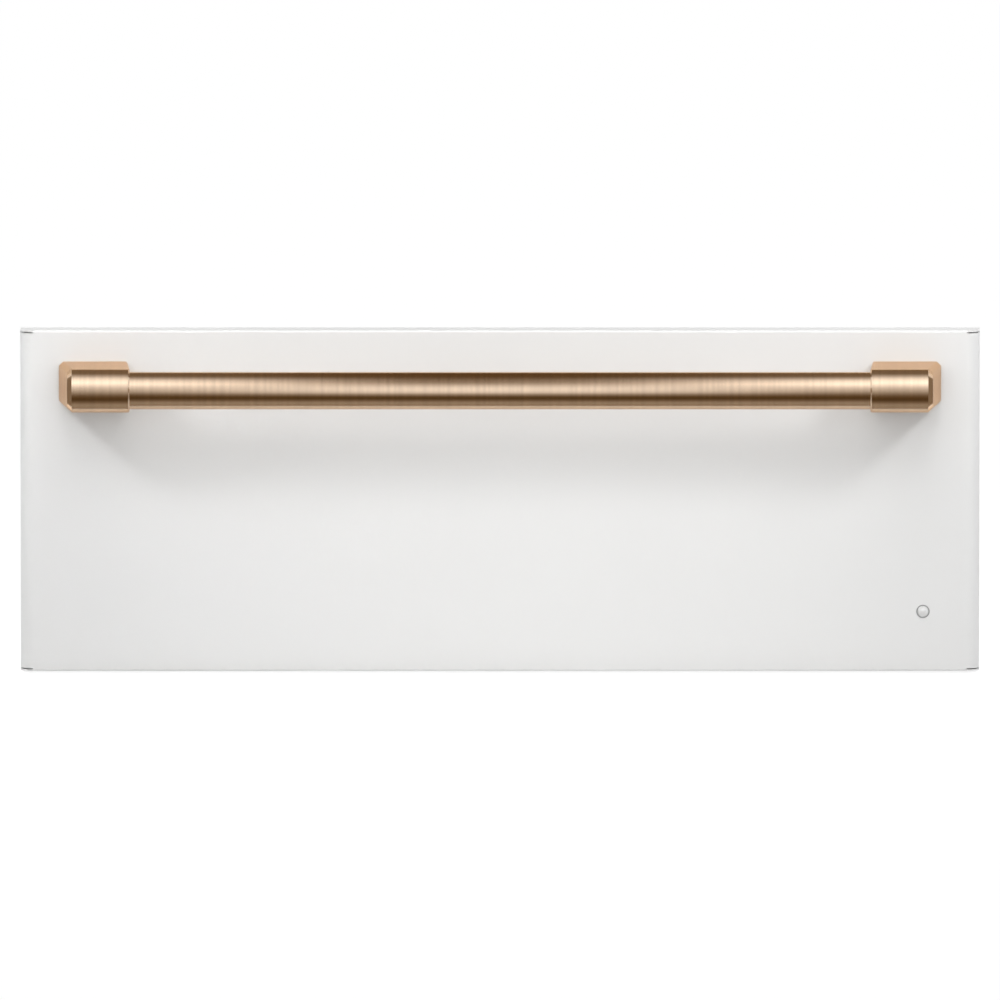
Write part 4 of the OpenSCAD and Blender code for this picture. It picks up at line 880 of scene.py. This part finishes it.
def add_rivet(mesh: Mesh, screw: Screw) -> None:
    """Adds a domed rivet.

    Args:
        mesh: The mesh to add to.
        screw: Where it sits and how big it is.
    """
    place = screw.place()
    quarter = [k * math.pi / 12 for k in range(6)]
    profile = [(0.0, -screw.reach), (screw.shank_radius, -screw.reach), (screw.shank_radius, 0.0)]
    profile += [(screw.head_radius * math.cos(t), screw.head_rise * math.sin(t)) for t in quarter]
    bridge(mesh, [add_ring(mesh, place, *at, 24) for at in profile + [(0.0, screw.head_rise)]])


# ------------------------------------------------------------------ sub-assemblies


@dataclass
class Assembly:
    """A group of CAD nodes and the pieces that go on them."""

    nodes: Dict[str, bpy.types.Object]

    def dress(self, finish: Finish, *names: str, soften: float = 0.0) -> None:
        """Gives CAD nodes their finish, and rounds their sharp edges a little.

        Args:
            finish: The finish.
            names: The nodes.
            soften: Width of the rounding in millimetres, or 0 for none.
        """
        for name in names:
            node = self.nodes[name]
            node.data.materials.clear()
            node.data.materials.append(finish.material())
            if soften:
                rounding = node.modifiers.new("soft edges", "BEVEL")
                rounding.width = soften * MM
                rounding.segments = 2
                rounding.limit_method = "ANGLE"
                rounding.angle_limit = math.radians(40)
                rounding.harden_normals = True

    def build(self) -> None:
        """Builds the pieces and dresses the nodes."""
        raise NotImplementedError

    def replace_screws(self, name: str, body: Body, rivet_radius: float = 3.2, turned: float = 0.7) -> None:
        """Stands recessed screws in for a CAD node's plain ones, each at its own place.

        Args:
            name: The CAD node of plain screws.
            body: The body they ride on.
            rivet_radius: A head smaller than this, in millimetres, is a rivet.
            turned: How far each recess is turned from the one before, in radians.
        """
        mesh = bmesh.new()
        for i, points in enumerate(loose_parts(self.nodes[name])):
            screw = find_screw(points)
            if screw.head_radius < rivet_radius * MM:
                add_rivet(mesh, screw)
            else:
                add_pan_head(mesh, screw, turned * i)
        piece = add_piece(f"{name}_recessed", mesh, Finishes.PLATED, body)
        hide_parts(name)


@dataclass
class DrawerFront(Assembly):
    """The painted front with its lining, seal and indicator light."""

    def build(self) -> None:
        """Dresses the folded sheet, the lining behind it, the seal and the light."""
        self.dress(Finishes.WHITE, "front_panel", soften=0.15)
        self.dress(Finishes.LINER_X, "inner_panel", "vent_slider")
        self.dress(Finishes.WOOL, "front_insulation")
        self.dress(Finishes.SEAL, "front_gasket")
        self.dress(Finishes.LENS, "indicator_lens")
        self.dress(Finishes.HOLDER, "indicator_holder")


@dataclass
class BarHandle(Assembly):
    """The bar, its two brackets and what clamps them to the sheet."""

    edge: float = 0.3

    def build(self) -> None:
        """Dresses the handle and rounds the brackets' edges so that they catch the light."""
        self.dress(Finishes.BRONZE, "handle_bar")
        self.dress(Finishes.BRONZE, "handle_bracket_left", "handle_bracket_right", soften=self.edge)
        self.dress(Finishes.PLATED, "handle_screws", "handle_backing_plates")


@dataclass
class ControlStrip(Assembly):
    """The strip on the front's top ledge, with three marked buttons and a small display."""

    proud: float = 0.05
    stroke: float = 0.28
    mark_radius: float = 2.3
    wave_gap: float = 1.7
    wave_sway: float = 0.5
    wave_height: float = 4.8
    bar_count: int = 5
    lit_count: int = 3
    bar_gap: float = 5.5
    bar_width: float = 2.6
    bar_shortest: float = 2.2
    bar_step: float = 1.0
    bar_margin: float = 1.4

    def build(self) -> None:
        """Dresses the strip and adds the marks on its buttons and the bars of its display."""
        self.dress(Finishes.BLACK, "control_fascia", soften=0.25)
        self.dress(Finishes.SMOKED, "display_lens")
        self.dress(Finishes.BOARD, "control_board")
        flatten = Vector((1.0, 1.0, 2 * self.proud / self.stroke))
        marks = ((Body.POWER, self.power_mark), (Body.HEAT, self.heat_mark), (Body.TIMER, self.timer_mark))
        for body, draw in marks:
            self.dress(Finishes.BUTTON, body.value, soften=0.2)
            low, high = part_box(body.value)
            middle = Vector(((low.x + high.x) / 2, (low.y + high.y) / 2, high.z))
            mesh = bmesh.new()
            for route, closed in draw():
                add_tube(mesh, [middle + point * MM for point in route], self.stroke * MM, closed)
            bmesh.ops.scale(mesh, vec=flatten, space=Matrix.Translation(-middle), verts=mesh.verts)
            add_piece(f"{body.value}_mark", mesh, Finishes.PRINT, body)
        self.build_bars()

    def arc(self, start: float, end: float, steps: int = 24) -> List[Vector]:
        """Gives points in millimetres on the mark's circle, between two angles in degrees."""
        angles = [math.radians(start + (end - start) * k / steps) for k in range(steps + 1)]
        return [Vector((math.cos(t), math.sin(t), 0.0)) * self.mark_radius for t in angles]

    def power_mark(self) -> List[Tuple[List[Vector], bool]]:
        """Gives the open ring and bar that mark a power button, each route with whether it is closed."""
        bar = [Vector((0.0, 1.1, 0.0)), Vector((0.0, self.mark_radius + 0.6, 0.0))]
        return [(self.arc(125.0, 415.0), False), (bar, False)]

    def heat_mark(self) -> List[Tuple[List[Vector], bool]]:
        """Gives three rising waves.

        Returns:
            Each wave's route, and that it is open.
        """
        half = self.wave_height / 2
        rises = [(self.wave_sway * math.sin(k * math.pi / 6), self.wave_height * k / 12 - half) for k in range(13)]
        places = (-self.wave_gap, 0.0, self.wave_gap)
        return [([Vector((x + sway, y, 0.0)) for sway, y in rises], False) for x in places]

    def timer_mark(self) -> List[Tuple[List[Vector], bool]]:
        """Gives a clock face with two hands."""
        hands = [Vector((0.0, 1.5, 0.0)), Vector((0.0, 0.0, 0.0)), Vector((1.1, 0.0, 0.0))]
        return [(self.arc(0.0, 345.0, 23), True), (hands, False)]

    def build_bars(self) -> None:
        """Adds the display's rising bars, the first of them lit."""
        low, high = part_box("display_lens")
        middle = (low.x + high.x) / 2
        lit = ("display_lit_bars", Finishes.LIT, range(self.lit_count))
        unlit = ("display_unlit_bars", Finishes.UNLIT, range(self.lit_count, self.bar_count))
        for name, finish, places in (lit, unlit):
            mesh = bmesh.new()
            for i in places:
                size = Vector((self.bar_width, self.bar_shortest + self.bar_step * i, self.proud)) * MM
                across = (i - self.bar_count // 2) * self.bar_gap * MM
                spot = Vector((middle + across, low.y + self.bar_margin * MM + size.y / 2, high.z))
                made = bmesh.ops.create_cube(mesh, size=1.0)["verts"]
                bmesh.ops.scale(mesh, vec=size, verts=made)
                bmesh.ops.translate(mesh, vec=spot, verts=made)
            add_piece(name, mesh, finish, Body.DRAWER)


@dataclass
class DrawerBox(Assembly):
    """The drawer's sides and back, its pan and its wire rack."""

    def build(self) -> None:
        """Dresses the drawer and gives its screws their recesses."""
        self.dress(Finishes.LINER_Y, "drawer_side_left", "drawer_side_right")
        self.dress(Finishes.LINER_X, "drawer_back")
        self.dress(Finishes.PAN, "warming_pan")
        self.dress(Finishes.RACK, "pan_rack")
        self.replace_screws("drawer_screws", Body.DRAWER)


@dataclass
class Slides(Assembly):
    """The ball-bearing slides."""

    ball_diameter: float = 3.4
    ball_count: int = 5
    polish: float = 0.03

    def build(self) -> None:
        """Dresses the rails and cages, and lays bright balls over the cages' plain ones."""
        for side in ("left", "right"):
            self.dress(Finishes.SLIDE, f"slide_outer_{side}", f"slide_middle_{side}", f"slide_inner_{side}")
        for body in (Body.OUTER_CAGE_LEFT, Body.OUTER_CAGE_RIGHT, Body.INNER_CAGE_LEFT, Body.INNER_CAGE_RIGHT):
            self.dress(Finishes.CAGE, body.value)
            self.build_balls(body)

    def build_balls(self, body: Body) -> None:
        """Finds the rows of balls on a cage and lays steel ones over them.

        Args:
            body: The cage's body, whose node has the same name.
        """
        low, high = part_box(body.value)
        radius, middle_z = self.ball_diameter / 2 * MM, (low.z + high.z) / 2
        inward = high.x - radius if body.value.endswith("left") else low.x + radius
        mesh = bmesh.new()
        for z in (low.z, high.z):
            for i in range(self.ball_count):
                y = low.y + (i + 0.5) * (high.y - low.y) / self.ball_count
                place = Matrix.Translation((inward, y, z + math.copysign(radius, middle_z - z)))
                size = radius + self.polish * MM
                bmesh.ops.create_uvsphere(mesh, u_segments=20, v_segments=12, radius=size, matrix=place)
        add_piece(f"{body.value}_balls", mesh, Finishes.BALLS, body)


@dataclass
class Cavity(Assembly):
    """The stainless lining with its heater and probe."""

    def build(self) -> None:
        """Dresses what the open drawer shows of the inside."""
        self.dress(Finishes.LINER_X, "cavity_liner")
        self.dress(Finishes.SHEATH, "heater_element")
        self.dress(Finishes.PLATED, "heater_clips", "heater_flange")
        self.dress(Finishes.PAN, "temperature_probe")
        self.dress(Finishes.CERAMIC, "heater_terminals", "thermal_cutout")
        self.dress(Finishes.WOOL, "insulation_base", "insulation_top", "insulation_sides", "insulation_back")


@dataclass
class Case(Assembly):
    """The zinc-coated case, its front frame and its feet."""

    foot_edge: float = 0.6
    head_edge: float = 0.15

    def build(self) -> None:
        """Dresses the case and gives its feet and their screws their shapes."""
        self.dress(Finishes.ZINC, "case_base", "case_side_left", "case_side_right", "case_top", "case_back")
        self.dress(Finishes.FRAME, "front_frame")
        self.dress(Finishes.RUBBER, "feet", soften=self.foot_edge)
        self.dress(Finishes.PLATED, "case_fasteners", soften=self.head_edge)
        self.replace_screws("foot_screws", Body.CHASSIS)


@dataclass
class RearCompartment(Assembly):
    """The service cover at the back and what it covers."""

    rib_count: int = 20
    rib_radius: float = 0.45
    rib_margin: float = 0.6
    rib_sunk: float = 0.3
    rib_fall: float = 1.9

    def build(self) -> None:
        """Dresses the cover and its contents, and ribs the gland's nut."""
        self.dress(Finishes.ZINC, "rear_cover")
        self.dress(Finishes.BLACK, "cord_gland", soften=0.3)
        self.dress(Finishes.BOARD, "power_board")
        self.dress(Finishes.CERAMIC, "terminal_block")
        self.dress(Finishes.SLEEVE, "internal_leads")
        self.build_ribs()

    def build_ribs(self) -> None:
        """Adds grip ribs round the gland's tapered nut."""
        low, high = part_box("cord_gland")
        middle, radius, margin = (low + high) / 2, (high.x - low.x) / 2, self.rib_margin * MM
        near = (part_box("rear_cover")[1].y + margin, radius - self.rib_sunk * MM)
        far = (high.y - margin, radius - self.rib_fall * MM)
        mesh = bmesh.new()
        for t in turns(self.rib_count):
            out = Vector((math.cos(t), 0.0, math.sin(t)))
            route = [Vector((middle.x, y, middle.z)) + out * reach for y, reach in (near, far)]
            add_tube(mesh, route, self.rib_radius * MM)
        add_piece("gland_grip_ribs", mesh, Finishes.BLACK, Body.CHASSIS)


# ------------------------------------------------------------------ studio


def add_stage(
    name: str, points: Sequence[Point], faces: Sequence[Sequence[int]], gloss_only: bool = True
) -> bpy.types.Mesh:
    """Makes a sheet of the studio, which isn't part of the object.

    Args:
        name: Its name.
        points: Its corners, in metres.
        faces: The corners of each face, by number.
        gloss_only: Whether only reflections see it.

    Returns:
        Its mesh, which has no material yet.
    """
    data = bpy.data.meshes.new(name)
    data.from_pydata(points, [], faces)
    sheet = bpy.data.objects.new(name, data)
    bpy.context.scene.collection.objects.link(sheet)
    if gloss_only:
        for kind in ("camera", "diffuse", "transmission", "volume_scatter", "shadow"):
            setattr(sheet, f"visible_{kind}", False)
    sheet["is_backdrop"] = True
    return data


def add_emission(data: bpy.types.Mesh, name: str, inputs: Inputs) -> None:
    """Gives a sheet a material that only shines.

    Args:
        data: The sheet's mesh.
        name: The material's name.
        inputs: The inputs of its Emission node.
    """
    made, graph = new_material(name)
    graph.end(graph.add("Emission", inputs))
    data.materials.append(made)


@dataclass(frozen=True)
class SoftBox:
    """A rectangular studio light that looks at a point, in metres."""

    name: str
    place: Point
    width: float
    height: float
    radiance: float
    aim: Point
    spread: float = 180.0

    def build(self) -> None:
        """Makes the light, which neither the camera nor a reflection sees."""
        data = bpy.data.lights.new(self.name, "AREA")
        data.shape = "RECTANGLE"
        data.size, data.size_y = self.width, self.height
        data.energy = self.radiance * math.pi * self.width * self.height
        data.spread = math.radians(self.spread)
        light = bpy.data.objects.new(self.name, data)
        light.location = self.place
        toward = Vector(self.aim) - Vector(self.place)
        light.rotation_euler = toward.to_track_quat("-Z", "Y").to_euler()
        light.visible_camera = False
        light.visible_glossy = False
        bpy.context.scene.collection.objects.link(light)


@dataclass(frozen=True)
class Reflector:
    """A reflector that curves over the bar from the floor in front, and that only gloss sees.

    Its tone follows the angle round the bar, as a studio's soft boxes and flags do, with one run of
    tones before the bar's middle and another before its ends. Angles are in degrees above the
    horizon in front, and go on over the top to the back. Beside each end of the bar is a dark flag.
    """

    radius: float = 1200.0
    half_width: float = 1200.0
    floor_gap: float = 0.6
    lowest: float = -10.8
    highest: float = 150.0
    steps: int = 48
    brightest: float = 1.8
    middle_x: float = -12.0
    change: Tuple[float, float] = (55.0, 335.0)
    flag_tone: float = 0.27
    flag_reach: float = 100.0
    flag_gap: float = 42.0
    low_tones: Tones = ((-111, 0.34), (-90, 0.34), (-72, 0.36), (-57, 0.20), (-43, 0.082))
    middle_tones: Tones = (
        (-30, 0.13), (-17, 0.37), (-4, 0.93), (8, 1.14), (20, 1.12), (33, 0.84), (46, 0.48),
        (59, 0.263), (73, 0.213), (88, 0.16), (106, 0.12),
    )
    end_tones: Tones = (
        (-30, 0.11), (-17, 0.19), (-4, 0.36), (8, 0.58), (20, 0.80), (33, 1.25), (46, 1.8),
        (59, 1.65), (73, 1.2), (88, 0.60), (106, 0.22),
    )
    tints: Tuple[Tuple[float, Colour], ...] = (
        (0.11, (1.0, 0.59, 0.21)), (0.19, (1.0, 0.73, 0.47)), (0.38, (1.0, 0.89, 0.75)),
        (0.68, (1.0, 0.97, 0.93)), (1.0, (1.0, 1.0, 1.0)),
    )

    def tinted(self, level: float) -> Tuple[float, ...]:
        """Warms a tone, the more the darker it is.

        Args:
            level: Its brightness.

        Returns:
            Its colour as a share of the brightest, with an alpha of 1.
        """
        levels, colours = zip(*self.tints)
        share = level / self.brightest
        return (*(share * float(np.interp(level, levels, channel)) for channel in zip(*colours)), 1.0)

    def ramp(self, graph: Graph, turn: Socket, tones: Tones) -> Socket:
        """Adds a colour ramp over the whole turn round the bar.

        Args:
            graph: The material's graph.
            turn: The angle as a share of a whole turn, 0.5 at the horizon in front.
            tones: Angle and brightness of each stop above the lowest ones.

        Returns:
            The colour.
        """
        node = graph.add("ValToRGB", {0: turn})
        stops = self.low_tones + tones
        band = node.color_ramp.elements
        while len(band) < len(stops):
            band.new(0.5)
        for element, (angle, level) in zip(band, stops):
            element.position = angle / 360 + 0.5
            element.color = self.tinted(level)
        return node.outputs[0]

    def build(self) -> None:
        """Makes the reflector round the bar's axis, and the two flags."""
        low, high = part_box("handle_bar")
        axis_y, axis_z = (low.y + high.y) / 2, (low.z + high.z) / 2
        panel_low, panel_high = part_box("front_panel")
        radius, half, reach = self.radius * MM, self.half_width * MM, self.flag_reach * MM
        outline = [(panel_low.y, self.floor_gap * MM)]
        for k in range(self.steps + 1):
            turn = math.radians(self.lowest + (self.highest - self.lowest) * k / self.steps)
            outline.append((axis_y - radius * math.cos(turn), axis_z + radius * math.sin(turn)))
        points = [(x, y, z) for y, z in outline for x in (-half, half)]
        faces = [(i, i + 1, i + 3, i + 2) for i in range(0, len(points) - 2, 2)]
        aside, front = panel_high.x + self.flag_gap * MM, axis_y - reach
        for x in (-aside, aside):
            faces.append(tuple(range(len(points), len(points) + 4)))
            spots = ((panel_low.y, -reach), (panel_low.y, reach), (front, reach), (front, -reach))
            points += [(x, y, axis_z + z) for y, z in spots]
        data = add_stage("reflector", points, faces)
        for flag in list(data.polygons)[-2:]:
            flag.material_index = 1
        made, graph = new_material("reflector")
        data.materials.append(made)
        add_emission(data, "side_flag", {"Color": self.tinted(self.flag_tone), "Strength": self.brightest})
        place = graph.add("SeparateXYZ", {0: graph.place()}).outputs
        forward, upward = graph.math("SUBTRACT", axis_y, place[1]), graph.math("SUBTRACT", place[2], axis_z)
        turn = graph.math("MULTIPLY_ADD", graph.math("ARCTAN2", upward, forward), 0.5 / math.pi, 0.5)
        aside = graph.math("ABSOLUTE", graph.math("SUBTRACT", place[0], self.middle_x * MM))
        change = tuple(at * MM for at in self.change)
        ease = graph.remap(aside, change, WHOLE, interpolation_type="SMOOTHSTEP")
        tone = graph.mix(ease, self.ramp(graph, turn, self.middle_tones), self.ramp(graph, turn, self.end_tones))
        graph.end(graph.add("Emission", {"Color": tone, "Strength": self.brightest}))


@dataclass(frozen=True)
class BackCard:
    """A grey card behind the drawer that only gloss sees, so that the front's top edge keeps its line."""

    behind: float = 1500.0
    half_width: float = 1400.0
    lowest: float = 280.0
    highest: float = 850.0
    tone: float = 0.22

    def build(self) -> None:
        """Makes the card and its even grey."""
        low, high = (-self.half_width, self.lowest), (self.half_width, self.highest)
        spots = (low, (high[0], low[1]), high, (low[0], high[1]))
        data = add_stage("back_card", [(x * MM, self.behind * MM, z * MM) for x, z in spots], [(0, 1, 2, 3)])
        add_emission(data, "back_card", {"Strength": self.tone})


@dataclass(frozen=True)
class Studio:
    """The plain white room, its soft lights and what gives gloss its tones."""

    fill: float = 0.4
    floor_half: float = 60.0
    floor_seen: float = 0.4
    floor_paint: float = 0.86
    lights: Tuple[SoftBox, ...] = (
        SoftBox("overhead_strip", (0.0, -0.42, 0.95), 0.9, 0.14, 7.95, (0.0, -0.25, 0.15)),
        SoftBox("near_left", (-0.42, -0.5, 0.62), 0.22, 0.22, 1.93, (-0.36, -0.23, 0.2)),
        SoftBox("near_right", (0.42, -0.5, 0.62), 0.22, 0.22, 1.93, (0.36, -0.23, 0.2)),
        SoftBox("far_left", (-0.95, -0.8, 0.9), 0.25, 0.25, 1.13, (-0.38, -0.22, 0.27), 40.0),
        SoftBox("far_right", (0.95, -0.8, 0.9), 0.25, 0.25, 1.18, (0.38, -0.22, 0.27), 40.0),
        SoftBox("front_box", (0.0, -0.95, 0.42), 0.7, 0.2, 1.66, (0.0, -0.22, 0.06)),
        SoftBox("high_grid", (0.0, -1.2, 1.1), 1.0, 0.4, 0.19, (0.0, -0.22, 0.25), 50.0),
        SoftBox("low_grid", (0.0, -1.1, 0.12), 0.5, 0.1, 0.165, (0.0, -0.22, 0.07), 40.0),
    )

    def build(self) -> None:
        """Sets up the room, the lights, the reflector and the card."""
        self.build_world()
        self.build_floor()
        for light in self.lights:
            light.build()
        Reflector().build()
        BackCard().build()
        bpy.context.scene.view_settings.view_transform = "Standard"

    @staticmethod
    def seen_directly(graph: Graph) -> Socket:
        """Tells what a ray is for.

        Args:
            graph: The graph to add it to.

        Returns:
            1 for a ray from the camera or one that gloss or clear plastic sends on, and else 0.
        """
        path = graph.add("LightPath").outputs
        plain = graph.math("ADD", path["Is Camera Ray"], path["Is Glossy Ray"])
        return graph.math("ADD", plain, path["Is Transmission Ray"], clamp=True)

    def build_world(self) -> None:
        """Makes the room white to look at, and a plain soft fill as a light."""
        world = bpy.data.worlds.new("white_room")
        world.use_nodes = True
        graph = Graph(world.node_tree)
        strength = graph.remap(self.seen_directly(graph), WHOLE, (self.fill, 1.0))
        graph.end(graph.add("Background", {"Color": (1.0,) * 4, "Strength": strength}), "OutputWorld")
        bpy.context.scene.world = world

    def build_floor(self) -> None:
        """Makes a wide floor that is white where only the fill lights it, and takes the soft shadow."""
        half = self.floor_half
        corners = [(-half, -half, 0), (half, -half, 0), (half, half, 0), (-half, half, 0)]
        data = add_stage("floor", corners, [(0, 1, 2, 3)], gloss_only=False)
        made, graph = new_material("white_floor")
        data.materials.append(made)
        seen = self.seen_directly(graph)
        paint = graph.blend(seen, (self.floor_paint,) * 3, (self.floor_seen,) * 3)
        glow = graph.math("MULTIPLY", seen, 1.0 - self.floor_seen * self.fill)
        matt, shine = graph.add("BsdfDiffuse", {"Color": paint}), graph.add("Emission", {"Strength": glow})
        graph.end(graph.add("AddShader", {0: matt.outputs[0], 1: shine.outputs[0]}))


@dataclass(frozen=True)
class PhotoCamera:
    """The long lens of the photograph, level with the front's middle and a little above it."""

    elevation: float = 7.0
    distance: float = 24.0
    frame_width: float = 787.7
    sensor: float = 36.0
    aim_x: float = 0.04
    aim_z: float = 137.8

    def build(self) -> None:
        """Makes the camera, aimed at the front's face, and sets it as the scene's."""
        data = bpy.data.cameras.new("photo_camera")
        data.sensor_width = self.sensor
        data.lens = self.sensor * self.distance / (self.frame_width * MM)
        data.clip_start, data.clip_end = 1.0, 200.0
        camera = bpy.data.objects.new("photo_camera", data)
        rise = math.radians(self.elevation)
        back = Vector((0.0, -math.cos(rise), math.sin(rise)))
        aim = Vector((self.aim_x * MM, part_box("front_panel")[0].y, self.aim_z * MM))
        camera.location = aim + back * self.distance
        camera.rotation_mode = "QUATERNION"
        camera.rotation_quaternion = (-back).to_track_quat("-Z", "Y")
        bpy.context.scene.collection.objects.link(camera)
        bpy.context.scene.camera = camera


# ------------------------------------------------------------------ main


def corners() -> List[List[float]]:
    """Gives the shown object's lowest and highest corners as plain lists."""
    return [[float(value) for value in corner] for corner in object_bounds()]


def main() -> None:
    """Loads the frame, dresses each sub-assembly and sets up the studio."""
    logging.basicConfig(level=logging.INFO, format="%(name)s: %(message)s")
    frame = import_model()
    nodes = frame["nodes"]
    PhotoCamera().build()
    for assembly in (DrawerFront, BarHandle, ControlStrip, DrawerBox, Slides, Cavity, Case, RearCompartment):
        LOG.info("building %s", assembly.__name__)
        assembly(nodes).build()
    Studio().build()


if __name__ == "__main__":
    main()
